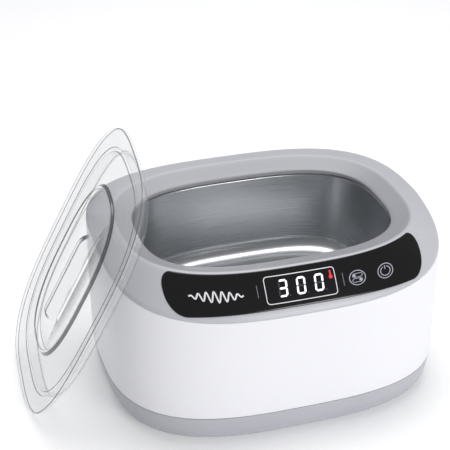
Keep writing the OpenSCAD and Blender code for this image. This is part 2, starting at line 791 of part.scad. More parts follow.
module heater_leads() {
  cut_end = board_left + 11;
  mat_end = board_left + 15;
  mat_y = mat_half.y - 5;
  color("#d8d4c8") {
    wire([[cutout_x + 4, 0, tank_floor_z - 11], [cutout_x + 4, 0, tank_floor_z - 20],
      [cutout_x + 8, 54, tray_top + 10], [cut_end, 54, tray_top + 10],
      [cut_end, 43, part_z + 10], [cut_end, 43, part_z]], lead_d);
    wire([[cutout_x + 14, mat_y, tank_floor_z - mat_t], [cutout_x + 14, mat_y, tank_floor_z - 14],
      [cutout_x + 14, 49, tray_top + 18], [mat_end, 49, tray_top + 18],
      [mat_end, 43, part_z + 10], [mat_end, 43, part_z]], lead_d);
  }
}

module panel_lead() {
  ribbon = [12, 1];
  y_board = slope_mid.x + (board_depth + board_t) * sin(slope_angle);
  z_board = slope_mid.y - (board_depth + board_t) * cos(slope_angle);
  foot = [board_left + 16, -board_l / 2 + 9];
  drop = min(touch_right - ribbon.x, foot.x);
  run_z = part_z + 12;
  color("#8f8f95") {
    translate([drop, y_board, run_z]) cube([ribbon.x, ribbon.y, z_board - run_z]);
    translate([drop, y_board, run_z]) cube([ribbon.x, foot.y - y_board + ribbon.y, ribbon.y]);
    translate([drop, foot.y + ribbon.y - ribbon.x, run_z])
      cube([foot.x - drop + ribbon.x, ribbon.x, ribbon.y]);
    translate([foot.x, foot.y, part_z]) cube([ribbon.x, ribbon.y, run_z - part_z]);
  }
}

// ---------- feet and casing screws ----------

module rubber_feet() {
  color("#3a3a3c") at_corners(foot_inset, foot_angle) rotate_extrude($fn = 64) polygon([
    [0, 0], [foot_d / 2 - 1.2, 0], [foot_d / 2 - 0.1, 0.9], [foot_d / 2 - 0.1, foot_h], [0, foot_h]
  ]);
}

module casing_screws() {
  color("#8d9096") at_corners(post_inset, post_angle) translate([0, 0, casing_head_z])
    screw_up(post_split - casing_head_z + 12);
}

// ---------- clear lid ----------

// Support of the lid outline along its own length when turned by the twist
lid_reach =
  let (q = lid_power / (lid_power - 1))
  pow(pow(lid_half.x * cos(lean_twist), q) + pow(lid_half.y * abs(sin(lean_twist)), q), 1 / q);
lean_z = lid_reach * sin(lean_angle) + lid_t * cos(lean_angle);

// Whether a casing point that lies d under the lid's top face is within the skirt, a margin inside it
function within_skirt(c, d) =
  let (up = (c.z - lean_z + d * cos(lean_angle)) / sin(lean_angle), side = c.y - lean_y,
    x = up * cos(lean_twist) + side * sin(lean_twist), y = side * cos(lean_twist) - up * sin(lean_twist),
    inner = inset(skirt_half, skirt_t + 0.5))
  pow(abs(x) / inner.x, lid_power) + pow(abs(y) / inner.y, lid_power) < 1;

// Push along the lid's normal that keeps it clear of one casing point
function lean_need(c) =
  let (hollow = within_skirt(c, 0) && within_skirt(c, lid_t + skirt_h))
  -c.x * sin(lean_angle) + c.z * cos(lean_angle) + (hollow ? lid_t : lid_t + skirt_h) + lean_gap;

// Casing rings that the lid can touch, and their points with three more along each edge
lean_rings = concat([seam_ring, between(seam_ring, shoulder_ring, 0.5)], slope_rings(0));
lean_points = [for (r = lean_rings, k = [0:SEG - 1], v = [0:0.25:0.75])
  let (c = r[k] + (r[(k + 1) % SEG] - r[k]) * v) if (c.x < 0) c];
lean_x = (lean_z * cos(lean_angle) - max([for (c = lean_points) lean_need(c)])) / sin(lean_angle);

// Upright finger grip seen from the front: square feet and rounded upper corners
function grip_face() =
  let (r = grip_h * 0.7, x = grip_l / 2 - r)
  concat([[-grip_l / 2, 0], [grip_l / 2, 0]],
    [for (a = [0:10:90]) [x + r * cos(a), grip_h - r + r * sin(a)]],
    [for (a = [90:10:180]) [-x + r * cos(a), grip_h - r + r * sin(a)]]);

// Lid in its own frame: X along its length, Y to the back, top face at z = 0
module flat_lid() {
  lip_w = 1.8;
  pocket = [pocket_l / 2, pocket_w / 2];
  difference() {
    union() {
      translate([0, 0, -lid_t]) linear_extrude(lid_t) polygon(outline(lid_half, lid_power));
      translate([0, 0, -lid_t - skirt_h]) linear_extrude(skirt_h + EPS) difference() {
        polygon(outline(skirt_half, lid_power));
        polygon(outline(inset(skirt_half, skirt_t), lid_power));
      }
      translate([0, 0, -EPS]) linear_extrude(pocket_lip + EPS)
        polygon(outline(inset(pocket, -lip_w), pocket_power));
    }
    translate([0, 0, pocket_floor - lid_t]) linear_extrude(lid_t + pocket_lip)
      polygon(outline(pocket, pocket_power));
  }
  translate([0, grip_t - grip_y, pocket_floor - lid_t - EPS]) rotate([90, 0, 0])
    linear_extrude(grip_t) polygon(grip_face());
}

module lid() {
  color("#dfe6ea", 0.4) translate([lean_x, lean_y, lean_z])
    rotate([0, -lean_angle, 0]) rotate([0, 0, lean_twist]) flat_lid();
}

base_tray();
body_shell();
top_deck();
control_panel();
display_module();
touch_board();
touch_springs();
touch_board_screws();
tank();
tank_seal();
tank_clips();
clip_screws();
front_mass();
piezo_rings();
electrodes();
back_mass();
preload_bolt();
heater_mat();
thermal_cutout();
power_board();
power_board_screws();
transformer();
heat_sink();
power_transistors();
capacitors();
choke();
relay();
fuse();
inlet_socket();
inlet_pins();
mains_leads();
transducer_leads();
heater_leads();
panel_lead();
rubber_feet();
casing_screws();
lid();
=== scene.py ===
# Bench-top ultrasonic cleaner: three casing mouldings, a steel tank, a touch panel and a clear lid.
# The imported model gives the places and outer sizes. Each section makes its piece's rounded shape
# and its finish.
import math

import bmesh
import bpy
import numpy as np
from mathutils import Matrix, Vector
from mathutils.bvhtree import BVHTree


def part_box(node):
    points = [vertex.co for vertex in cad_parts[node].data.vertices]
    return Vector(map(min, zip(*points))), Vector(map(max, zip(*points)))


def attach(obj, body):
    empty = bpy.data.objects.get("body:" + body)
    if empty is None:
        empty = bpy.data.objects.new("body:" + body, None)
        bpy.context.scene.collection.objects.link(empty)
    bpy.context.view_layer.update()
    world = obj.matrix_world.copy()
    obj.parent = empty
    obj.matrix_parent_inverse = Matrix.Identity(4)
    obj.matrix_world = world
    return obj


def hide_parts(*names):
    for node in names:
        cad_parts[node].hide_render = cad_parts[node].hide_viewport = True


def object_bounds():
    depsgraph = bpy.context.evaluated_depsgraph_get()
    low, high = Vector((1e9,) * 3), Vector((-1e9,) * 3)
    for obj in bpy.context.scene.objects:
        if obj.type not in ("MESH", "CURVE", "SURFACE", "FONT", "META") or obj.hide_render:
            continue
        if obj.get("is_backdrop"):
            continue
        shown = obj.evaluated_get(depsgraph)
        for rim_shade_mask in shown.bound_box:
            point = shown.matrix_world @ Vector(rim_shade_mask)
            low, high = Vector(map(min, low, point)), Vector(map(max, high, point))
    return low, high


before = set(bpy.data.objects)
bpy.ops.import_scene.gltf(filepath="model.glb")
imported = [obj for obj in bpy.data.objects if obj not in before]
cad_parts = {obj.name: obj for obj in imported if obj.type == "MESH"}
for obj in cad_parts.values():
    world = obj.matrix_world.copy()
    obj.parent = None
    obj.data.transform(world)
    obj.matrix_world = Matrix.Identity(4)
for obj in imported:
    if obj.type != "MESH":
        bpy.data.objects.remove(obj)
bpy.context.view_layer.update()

# ---------------------------------------------------------------------------------------------
# Camera and studio: a long lens looks down on the front left corner. A pale sweep, a wide soft
# light from the front right and a pale room all round give soft shade on white plastic.
def put_in_scene(name, data):
    """A new object with this mesh, camera or light, linked into the scene."""
    made = bpy.data.objects.new(name, data)
    bpy.context.collection.objects.link(made)
    return made


camera = put_in_scene("camera", bpy.data.cameras.new("camera"))
camera.location = (-0.2730, -0.7800, 0.5679)
camera.rotation_euler = (math.radians(90 - 28.981), 0, math.radians(-17.535))
camera.data.sensor_width = 36
camera.data.lens = 106.8
bpy.context.scene.camera = camera
bpy.context.scene.view_settings.view_transform = "Standard"


def linear(hex_colour):
    """An sRGB hex colour as linear red, green, blue and alpha."""
    parts = [int(hex_colour[i : i + 2], 16) / 255 for i in (1, 3, 5)]
    return tuple(c / 12.92 if c <= 0.04045 else ((c + 0.055) / 1.055) ** 2.4 for c in parts) + (1.0,)


def add_node(tree, kind, inputs=None, **settings):
    """Adds a node, sets its properties, and fills its inputs with values or links."""
    made = tree.nodes.new(kind)
    for name, value in settings.items():
        setattr(made, name, value)
    for name, value in (inputs or {}).items():
        if isinstance(value, bpy.types.NodeSocket):
            tree.links.new(value, made.inputs[name])
        else:
            made.inputs[name].default_value = value
    return made


def new_finish(name, colour, roughness, metallic=0.0, ior=1.5):
    """A material with its shader and its Object coordinates, ready for a pattern."""
    finish = bpy.data.materials.new(name)
    finish.use_nodes = True
    shader = finish.node_tree.nodes["Principled BSDF"]
    shader.inputs["Base Color"].default_value = linear(colour)
    shader.inputs["Roughness"].default_value = roughness
    shader.inputs["Metallic"].default_value = metallic
    shader.inputs["IOR"].default_value = ior
    place = add_node(finish.node_tree, "ShaderNodeTexCoord").outputs["Object"]
    return finish, finish.node_tree, shader, place


floor_paper, tree, shader, place = new_finish("sweep_paper", "#fbfbfc", 0.9)
shader.inputs["Specular IOR Level"].default_value = 0.1
shader.inputs["Emission Color"].default_value = linear("#ffffff")
shader.inputs["Emission Strength"].default_value = 0.2
floor = bpy.data.meshes.new("sweep")
floor.from_pydata([(-4, -4, 0), (4, -4, 0), (4, 4, 0), (-4, 4, 0)], [], [(0, 1, 2, 3)])
floor.materials.append(floor_paper)
put_in_scene("sweep", floor)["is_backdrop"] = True

room = bpy.data.worlds.new("room")
room.use_nodes = True
room.node_tree.nodes["Background"].inputs["Color"].default_value = linear("#f4f5f8")
room.node_tree.nodes["Background"].inputs["Strength"].default_value = 0.27
bpy.context.scene.world = room

for name, spot, size, watts, aim in [
    ("key_softbox", (0.6, -1.65, 0.5), 0.8, 13.5, (0.0, 0.0, 0.06)),
    ("top_softbox", (0.1, 0.35, 1.5), 1.3, 16.5, (0.0, 0.0, 0.05)),
]:
    lamp = put_in_scene(name, bpy.data.lights.new(name, "AREA"))
    lamp.data.shape = "DISK"
    lamp.data.size = size
    lamp.data.energy = watts
    lamp.location = spot
    lamp.rotation_euler = (Vector(aim) - Vector(spot)).to_track_quat("-Z", "Y").to_euler()

# ---------------------------------------------------------------------------------------------
# Body shell: one white ABS moulding, a deep oval band 2.4 mm thick, standing on the tray's lip.
# Its plan is a rounded oval, and its upper edge dips at the front to make room for the panel.
STATIONS = 288
MM = 0.001
low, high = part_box("body_shell")
body_half = Vector((high.x - low.x, high.y - low.y)) / 2 / MM
tray_seam = low.z / MM
seam_z = high.z / MM + 0.1
crest_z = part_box("top_deck")[1].z / MM
front_dip, dip_power = 20.0, 1.15
wall = 2.4
plan_power = 3.0


def oval(half, z, power=plan_power, dipped=0.0, stations=STATIONS):
    """Ring of points in millimetres on a rounded oval, lowered towards the front where it dips."""
    t = np.arange(stations) * 2 * np.pi / stations
    r = ((np.abs(np.cos(t)) / half[0]) ** power + (np.abs(np.sin(t)) / half[1]) ** power) ** (-1 / power)
    y = r * np.sin(t)
    drop = front_dip * np.clip(-y / half[1], 0, None) ** dip_power
    return np.stack([r * np.cos(t), y, z - dipped * drop], 1)


def inset(half, d):
    return (half[0] - d, half[1] - d)


def towards(ring, other, distance, most=0.46):
    """Each point moved a distance towards the other ring, but no further than a share of the way."""
    gap = other - ring
    length = np.maximum(np.linalg.norm(gap, axis=1, keepdims=True), 1e-9)
    return ring + gap * np.minimum(distance / length, most)


def rounded_section(corners, closed=True, steps=5):
    """Rings through a section whose corners are (ring, radius), with each corner rounded off."""
    rings = []
    for i, (ring, radius) in enumerate(corners):
        before, after = corners[i - 1][0], corners[(i + 1) % len(corners)][0]
        if radius == 0 or (not closed and i in (0, len(corners) - 1)):
            rings.append(ring)
            continue
        a, b = towards(ring, before, radius), towards(ring, after, radius)
        rings.append(towards(ring, before, radius * 1.25, 0.49))
        rings += [a * (1 - t) ** 2 + ring * 2 * t * (1 - t) + b * t * t for t in np.linspace(0, 1, steps + 1)]
        rings.append(towards(ring, after, radius * 1.25, 0.49))
    return rings


def loft(name, rings, closed=True):
    """Mesh object skinned through rings; an open one gets a flat cap at each end."""
    n, count = STATIONS, len(rings)
    faces = []
    for i in range(count if closed else count - 1):
        j = (i + 1) % count
        faces += [(i * n + k, i * n + (k + 1) % n, j * n + (k + 1) % n, j * n + k) for k in range(n)]
    if not closed:
        faces.append(tuple(range(n - 1, -1, -1)))
        faces.append(tuple(range((count - 1) * n, count * n)))
    mesh = bpy.data.meshes.new(name)
    mesh.from_pydata(np.concatenate(rings) * MM, [], faces)
    mesh.shade_smooth()
    return put_in_scene(name, mesh)


def bake(made):
    """Turns an object and its modifiers into a plain mesh on the same object."""
    flat = bpy.data.meshes.new_from_object(made.evaluated_get(bpy.context.evaluated_depsgraph_get()))
    made.modifiers.clear()
    made.data = flat
    return made


def cut(made, cutter, operation="DIFFERENCE"):
    """Cuts or joins a closed mesh with another, and drops the other."""
    step = made.modifiers.new("cut", "BOOLEAN")
    step.operation, step.object, step.solver = operation, cutter, "EXACT"
    bake(made)
    bpy.data.objects.remove(cutter)
    return made


def shaped(name, shape):
    """Object from a bmesh, which it frees."""
    mesh = bpy.data.meshes.new(name)
    shape.to_mesh(mesh)
    shape.free()
    return put_in_scene(name, mesh)


def block(name, lowest, highest):
    """Box-shaped mesh object between two corners in millimetres."""
    shape = bmesh.new()
    bmesh.ops.create_cube(shape, size=1.0)
    for v in shape.verts:
        v.co = Vector([(lo + hi) / 2 + c * (hi - lo) for c, lo, hi in zip(v.co, lowest, highest)]) * MM
    return shaped(name, shape)


base_low = inset(body_half, 0.5)
body_shell = loft("body_shell", rounded_section([
    (oval(base_low, tray_seam + 0.15), 0.6), (oval(inset(body_half, 0.1), tray_seam + 18), 0),
    (oval(body_half, 65), 0), (oval(body_half, 84, dipped=0.3), 0),
    (oval(body_half, seam_z - 0.1, dipped=1), 0.7),
    (oval(inset(body_half, wall / 2), seam_z - 0.1, dipped=1), 0.1),
    (oval(inset(body_half, wall / 2), seam_z - 3.3, dipped=1), 0),
    (oval(inset(body_half, wall), seam_z - 4.3, dipped=1), 0),
    (oval(inset(base_low, wall), tray_seam + 4.7), 0),
    (oval(inset(base_low, wall / 2), tray_seam + 3.2), 0),
    (oval(inset(base_low, wall / 2), tray_seam + 0.15), 0.1),
]))
inlet_low, inlet_high = [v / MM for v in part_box("inlet_socket")]
cut(body_shell, block("inlet_hole", (inlet_low.x + 1.5, body_half.y - 8, inlet_low.z + 1.5),
                      (inlet_high.x - 1.5, body_half.y + 8, inlet_high.z - 1.5)))

# Injection-moulded gloss ABS: bright white with a trace of blue and a soft clear highlight. Its
# faint flow ripple is some 25 mm long and its grain 0.5 mm across, deeper than life to show.
gloss_abs, tree, shader, place = new_finish("white_abs_gloss", "#efeff3", 0.3, ior=1.54)
ripple = add_node(tree, "ShaderNodeTexNoise", {"Vector": place, "Scale": 40.0, "Detail": 2.0})
grit = add_node(tree, "ShaderNodeTexNoise", {"Vector": place, "Scale": 2200.0, "Detail": 3.0})
span = add_node(tree, "ShaderNodeMapRange", {"Value": grit.outputs["Fac"], "To Min": 0.24, "To Max": 0.37})
tree.links.new(span.outputs["Result"], shader.inputs["Roughness"])
wave = add_node(tree, "ShaderNodeBump", {
    "Strength": 0.06, "Distance": 0.0006, "Height": ripple.outputs["Fac"]})
fine = add_node(tree, "ShaderNodeBump", {
    "Strength": 0.05, "Distance": 0.00006, "Height": grit.outputs["Fac"], "Normal": wave.outputs["Normal"]})
tree.links.new(fine.outputs["Normal"], shader.inputs["Normal"])
body_shell.data.materials.append(gloss_abs)
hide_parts("body_shell")
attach(body_shell, "housing")

# ---------------------------------------------------------------------------------------------
# Base tray: a grey ABS dish under the shell, drawn in towards the table, with a lip inside the
# shell, vent slots under the transducer, and a sunk screw in each of its four posts.
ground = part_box("base_tray")[0].z / MM
foot_edge = inset(body_half, 4)
tray_top = ground + 3
tray_rim = inset(body_half, 0.5)
lip_h, lip_gap = 3, 0.2
base_tray = loft("base_tray", rounded_section([
    (oval(inset(foot_edge, 30), ground), 0), (oval(inset(foot_edge, 2), ground), 1.5),
    (oval(foot_edge, ground + 2), 1.5), (oval(inset(body_half, 1.6), tray_seam * 0.6), 3),
    (oval(tray_rim, tray_seam - 0.15), 0.6), (oval(inset(tray_rim, wall / 2), tray_seam - 0.15), 0),
    (oval(inset(tray_rim, wall / 2 + lip_gap), tray_seam + 0.4), 0),
    (oval(inset(tray_rim, wall / 2 + lip_gap), tray_seam + lip_h), 0.3),
    (oval(inset(tray_rim, wall + 0.6), tray_seam + lip_h), 0.3),
    (oval(inset(tray_rim, wall + 0.6), tray_seam - 1), 0),
    (oval(inset(foot_edge, wall), tray_top + 2), 0), (oval(inset(foot_edge, wall + 2), tray_top), 0.5),
    (oval(inset(foot_edge, 40), tray_top), 0),
], closed=False), closed=False)


def rod(name, centre, bottom, top, radius, sides=40):
    """Upright round mesh object in millimetres."""
    shape = bmesh.new()
    place = Matrix.Translation((centre[0] * MM, centre[1] * MM, (bottom + top) / 2 * MM))
    bmesh.ops.create_cone(shape, cap_ends=True, segments=sides, radius1=radius * MM, radius2=radius * MM,
                          depth=(top - bottom) * MM, matrix=place)
    return shaped(name, shape)


head_r, head_h = 2.8, 2.2
post_r, sink_r, hole_r = 4.5, 3.1, 1.7
screw_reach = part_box("casing_screws")[1] / MM
screw_spots = [(sx * (screw_reach.x - head_r), sy * (screw_reach.y - head_r))
               for sx in (-1, 1) for sy in (-1, 1)]
for spot in screw_spots:
    cut(base_tray, rod("post", spot, tray_top - 1, tray_seam + lip_h - lip_gap, post_r), "UNION")
    cut(base_tray, rod("sink", spot, -1, 13, sink_r))
    cut(base_tray, rod("hole", spot, 12, tray_seam + 4, hole_r))
vent_rows, vent_pitch, vent_out = 7, 8, 22
vent_half_l, vent_half_w = 13, 1.5
for row in range(vent_rows):
    y = (row - (vent_rows - 1) // 2) * vent_pitch
    for x in (-vent_out, vent_out):
        cut(base_tray, block("slot", (x - vent_half_l, y - vent_half_w, 0),
                             (x + vent_half_l, y + vent_half_w, 8)))

# Injection-moulded ABS with a fine spark-eroded texture: cool grey and silky, its grain about
# 0.4 mm across so that it shows.
silk_abs, tree, shader, place = new_finish("grey_abs_silk", "#b7b8be", 0.4, ior=1.54)
grain = add_node(tree, "ShaderNodeTexNoise", {
    "Vector": place, "Scale": 2400.0, "Detail": 4.0, "Roughness": 0.6})
cloud = add_node(tree, "ShaderNodeTexNoise", {"Vector": place, "Scale": 18.0, "Detail": 3.0})
tone = add_node(tree, "ShaderNodeMix", {
    "Factor": cloud.outputs["Fac"], "A": linear("#b3b4bb"), "B": linear("#bbbcc1")}, data_type="RGBA")
tree.links.new(tone.outputs["Result"], shader.inputs["Base Color"])
span = add_node(tree, "ShaderNodeMapRange", {"Value": grain.outputs["Fac"], "To Min": 0.34, "To Max": 0.48})
tree.links.new(span.outputs["Result"], shader.inputs["Roughness"])
fine = add_node(tree, "ShaderNodeBump", {
    "Strength": 0.12, "Distance": 0.00006, "Height": grain.outputs["Fac"]})
tree.links.new(fine.outputs["Normal"], shader.inputs["Normal"])
base_tray.data.materials.append(silk_abs)
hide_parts("base_tray")
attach(base_tray, "housing")

# ---------------------------------------------------------------------------------------------
# Top deck: a light grey ABS moulding. A shoulder rises from the seam to the crest, widest and
# steepest at the front for the panel, and a dished rim falls from the crest to the tank.
deck_t = 2.66
shoulder_in, shoulder_h, shoulder_swell = 0.8, 2.5, 2.8
crest_half = (body_half.x - 16.5, body_half.y - 19.5)
open_half = (crest_half[0] - 14, crest_half[1] - 16)
crest_power = 2.8
open_z = crest_z - 4.5
seat_z = open_z - 3.2


def pushed(ring, out, up):
    """Each point moved away from the middle, and up."""
    flat = ring[:, :2] / np.linalg.norm(ring[:, :2], axis=1, keepdims=True)
    return ring + np.concatenate([flat * out, np.full((len(ring), 1), up)], 1)


def slope_ring(v, stations=STATIONS):
    """Ring on the slightly swollen shoulder, v from 0 above the seam to 1 at the crest."""
    seam = oval(body_half, seam_z, dipped=1, stations=stations)
    lower = pushed(seam, -shoulder_in, shoulder_h)
    upper = oval(crest_half, crest_z, crest_power, stations=stations)
    swell = shoulder_swell * v * (1 - v)
    return pushed(lower + (upper - lower) * v, swell * 0.6, swell * 0.8)


seam_ring = oval(body_half, seam_z + 0.05, dipped=1)
top_deck = loft("top_deck", rounded_section([
    (seam_ring, 0.6), (slope_ring(0), 1.1),
    *[(slope_ring(v), 0) for v in (0.2, 0.35, 0.5, 0.65, 0.8)],
    (oval(crest_half, crest_z, crest_power), 2.2),
    (oval(inset(crest_half, 3.4), crest_z - 1.3, crest_power), 1.5),
    (oval(inset(open_half, -1.6), open_z + 0.1), 1.2),
    (oval(open_half, open_z - 0.9), 0.6), (oval(open_half, seat_z), 0.4),
    (oval(inset(open_half, -9), seat_z), 0),
    (oval(inset(crest_half, 2), crest_z - deck_t - 1.2, crest_power), 0),
    (pushed(slope_ring(0.5), -deck_t * 0.7 - 0.5, -deck_t * 0.6 - 0.5), 0),
    (oval(inset(body_half, wall + lip_gap), seam_z - 0.2, dipped=1), 0),
    (oval(inset(body_half, wall + lip_gap), seam_z - lip_h, dipped=1), 0.3),
    (oval(inset(body_half, wall / 2 + lip_gap), seam_z - lip_h, dipped=1), 0.3),
    (oval(inset(body_half, wall / 2 + lip_gap), seam_z + 0.05, dipped=1), 0),
], steps=6))
front_post_drop = 8
pilot_r = 1.5
for spot in screw_spots:
    post_top = seam_z - 9 - (front_post_drop if spot[1] < 0 else 0)
    cut(top_deck, rod("post", spot, tray_seam + lip_h, post_top, post_r), "UNION")
    cut(top_deck, rod("pilot", spot, tray_seam + 2, tray_seam + 17, pilot_r))

# Painted shade: a share of 1 inside the crest, falling to 0 at the crest line, that darkens the dish.
dish_shade_share = top_deck.data.attributes.new("dish_shade_share", "FLOAT", "POINT")
for v, share in zip(top_deck.data.vertices, dish_shade_share.data):
    x, y, z = v.co / MM
    reach = (abs(x) / crest_half[0]) ** crest_power + (abs(y) / crest_half[1]) ** crest_power
    share.value = min(1.0, max(0.0, (0.99 - reach) / 0.06)) if z > seat_z - 1 else 0.0

# Injection-moulded ABS, light grey and satin. Inside the crest the dish is painted a shade darker,
# painted shade for the rim that falls away from the light. The grain is drawn 0.4 mm across so that it shows.
satin_abs, tree, shader, place = new_finish("light_grey_abs_satin", "#c6c7cc", 0.4, ior=1.54)
dish_shade_mask = add_node(tree, "ShaderNodeAttribute", attribute_name="dish_shade_share").outputs["Fac"]
grain = add_node(tree, "ShaderNodeTexNoise", {
    "Vector": place, "Scale": 2400.0, "Detail": 4.0, "Roughness": 0.6})
cloud = add_node(tree, "ShaderNodeTexNoise", {"Vector": place, "Scale": 16.0, "Detail": 3.0})
tone = add_node(tree, "ShaderNodeMix", {
    "Factor": cloud.outputs["Fac"], "A": linear("#bfc0c6"), "B": linear("#c9cacf")}, data_type="RGBA")
# Painted shade: the dish inside the crest is mixed towards a darker grey.
painted_dish_shade = add_node(tree, "ShaderNodeMix", {
    "Factor": dish_shade_mask, "A": tone.outputs["Result"], "B": linear("#a6a7ac")}, data_type="RGBA")
tree.links.new(painted_dish_shade.outputs["Result"], shader.inputs["Base Color"])
span = add_node(tree, "ShaderNodeMapRange", {"Value": grain.outputs["Fac"], "To Min": 0.34, "To Max": 0.47})
tree.links.new(span.outputs["Result"], shader.inputs["Roughness"])
fine = add_node(tree, "ShaderNodeBump", {
    "Strength": 0.09, "Distance": 0.00006, "Height": grain.outputs["Fac"]})
tree.links.new(fine.outputs["Normal"], shader.inputs["Normal"])
top_deck.data.materials.append(satin_abs)
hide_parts("top_deck")
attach(top_deck, "housing")

# ---------------------------------------------------------------------------------------------
# Control panel: a black acrylic inlay that follows the front slope, 1.6 mm thick and 0.4 mm
# proud, with tight upper corners and fuller lower ones.
slope_steps = 60
fine_stations = 5 * STATIONS
front_arc = slice(fine_stations * 190 // 360, fine_stations * 350 // 360)
front = [slope_ring(v, fine_stations)[front_arc] for v in np.linspace(0, 1, slope_steps + 1)]
n = len(front[0])
slope_tree = BVHTree.FromPolygons(
    [tuple(p) for p in np.concatenate(front)],
    [(i * n + k, i * n + k + 1, i * n + n + k + 1, i * n + n + k)
     for i in range(slope_steps) for k in range(n - 1)])
low, high = [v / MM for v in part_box("control_panel")]
panel_mid, panel_half = (low.x + high.x) / 2, (high.x - low.x) / 2
panel_low, panel_high = low.z, min(high.z, crest_z - 1.0)
panel_proud, panel_t = 0.4, 1.6
low_corner_r, high_corner_r = 12, 8


def on_slope(x, z, lift):
    """Point in millimetres on the front slope at that width and height, lifted out of it."""
    spot, normal, _, _ = slope_tree.ray_cast(Vector((x, -200, z)), Vector((0, 1, 0)))
    return spot + normal * lift


def panel_edges(x, shrink):
    """Lower and upper height of the panel at a place across it, drawn in by shrink."""
    heights = []
    for radius, edge, sign in (
        (low_corner_r, panel_low + shrink, 1), (high_corner_r, panel_high - shrink, -1),
    ):
        r = radius - shrink
        past = max(0.0, abs(x - panel_mid) - (panel_half - shrink - r))
        heights.append(edge + sign * (r - math.sqrt(max(0.0, r * r - past * past))))
    return heights


columns, rows = 200, 28
edge_round = 0.5
levels = [(0.15, panel_proud - 0.07), (0, panel_proud - 0.3), (0, panel_proud - panel_t)]
points = []
for i in range(columns + 1):
    x = panel_mid + (panel_half - edge_round) * math.sin(math.pi * (i / columns - 0.5))
    bottom, top = panel_edges(x, edge_round)
    points += [on_slope(x, bottom + (top - bottom) * j / rows, panel_proud) for j in range(rows + 1)]
side = rows + 1
faces = [(i * side + j, (i + 1) * side + j, (i + 1) * side + j + 1, i * side + j + 1)
         for i in range(columns) for j in range(rows)]
edge = ([i * side for i in range(columns)] + [columns * side + j for j in range(rows)]
        + [i * side + rows for i in range(columns, 0, -1)] + [j for j in range(rows, 0, -1)])
last = edge
for shrink, lift in levels:
    fresh = []
    for k in edge:
        i, j = divmod(k, side)
        x = panel_mid + (panel_half - shrink) * math.sin(math.pi * (i / columns - 0.5))
        bottom, top = panel_edges(x, shrink)
        fresh.append(len(points))
        points.append(on_slope(x, bottom + (top - bottom) * j / rows, lift))
    faces += [(last[k], fresh[k], fresh[(k + 1) % len(edge)], last[(k + 1) % len(edge)])
              for k in range(len(edge))]
    last = fresh
faces.append(tuple(last[::-1]))
mesh = bpy.data.meshes.new("control_panel")
mesh.from_pydata([p * MM for p in points], [], faces)
mesh.shade_smooth()
control_panel = put_in_scene("control_panel", mesh)

# Cast acrylic backed with black ink: deep black under a hard clear face, with a faint film of
# wiping haze that changes its gloss over some 40 mm.
black_acrylic, tree, shader, place = new_finish("black_acrylic", "#141415", 0.1, ior=1.49)
haze = add_node(tree, "ShaderNodeTexNoise", {"Vector": place, "Scale": 25.0, "Detail": 5.0, "Roughness": 0.6})
span = add_node(tree, "ShaderNodeMapRange", {"Value": haze.outputs["Fac"], "To Min": 0.08, "To Max": 0.18})
tree.links.new(span.outputs["Result"], shader.inputs["Roughness"])
mesh.materials.append(black_acrylic)
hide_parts("control_panel")
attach(control_panel, "housing")

# ---------------------------------------------------------------------------------------------
# Panel print and display: white and grey screen print on the acrylic, and a three-digit LED
# window that reads 300, with its unlit segments just visible. A plain sound wave takes the
# place of lettering. Heights on the panel are shares of SLOPE, seam to crest along the slope.
SLOPE = 33.3
lean_up = math.atan2(crest_z - (seam_z - front_dip), body_half.y - crest_half[1])
slope_out = Vector((0, -math.sin(lean_up), math.cos(lean_up)))


def on_print(across, up, lift=0.06):
    """Point on the panel's face, from millimetres across and millimetres up the slope."""
    seam_y = body_half.y * (1 - abs(across / body_half.x) ** plan_power) ** (1 / plan_power)
    seam = seam_z - front_dip * (seam_y / body_half.y) ** dip_power
    return on_slope(across, seam + up / SLOPE * (crest_z - seam), panel_proud + lift)


def stroke(path, width, closed=False):
    """Flat ribbon of a width along a path: its points and faces."""
    path = [Vector(p) for p in path]
    count = len(path)
    sides = []
    for i, p in enumerate(path):
        a = path[i - 1] if i or closed else p
        b = path[(i + 1) % count] if i < count - 1 or closed else p
        ahead = (b - a).normalized()
        bend = 1.0
        if i not in (0, count - 1) or closed:
            bend = max(0.5, (b - p).normalized().dot(ahead))
        normal = Vector((-ahead.y, ahead.x)) * width / 2 / bend
        sides += [p + normal, p - normal]
    steps = count if closed else count - 1
    return sides, [(2 * i, 2 * i + 1, (2 * i + 3) % (2 * count), (2 * i + 2) % (2 * count))
                   for i in range(steps)]


def plate(outline):
    """Flat filled shape: its points and its one face."""
    return [Vector(p) for p in outline], [tuple(range(len(outline)))]


def arc(cx, cy, radius, start, end, steps=24):
    return [(cx + radius * math.cos(math.radians(a)), cy + radius * math.sin(math.radians(a)))
            for a in np.linspace(start, end, steps + 1)]


def oblong(cx, cy, w, h, r, steps=8):
    """Outline of a rounded rectangle, with points along its sides too."""
    loop = []
    for qx, qy, start in ((1, 1, 0), (-1, 1, 90), (-1, -1, 180), (1, -1, 270)):
        loop += arc(cx + qx * (w / 2 - r), cy + qy * (h / 2 - r), r, start, start + 90, steps)
    full = []
    for i, p in enumerate(loop):
        q = loop[(i + 1) % len(loop)]
        pieces = max(1, int(math.dist(p, q) / 1.5))
        full += [(p[0] + (q[0] - p[0]) * k / pieces, p[1] + (q[1] - p[1]) * k / pieces)
                 for k in range(pieces)]
    return full


def print_on_panel(name, shapes, finish, lift=0.06):
    """One printed piece made of ribbons and plates, laid on the panel's face."""
    points, faces = [], []
    for outline, sides in shapes:
        start = len(points)
        points += [on_print(p[0], p[1], lift) * MM for p in outline]
        faces += [tuple(start + k for k in face) for face in sides]
    mesh = bpy.data.meshes.new(name)
    mesh.from_pydata(points, [], faces)
    shape = bmesh.new()
    shape.from_mesh(mesh)
    for face in shape.faces:
        face.normal_update()
        if face.normal.dot(slope_out) < 0:
            face.normal_flip()
    shape.to_mesh(mesh)
    shape.free()
    mesh.shade_smooth()
    mesh.materials.append(finish)
    made = put_in_scene(name, mesh)
    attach(made, "housing")
    return made


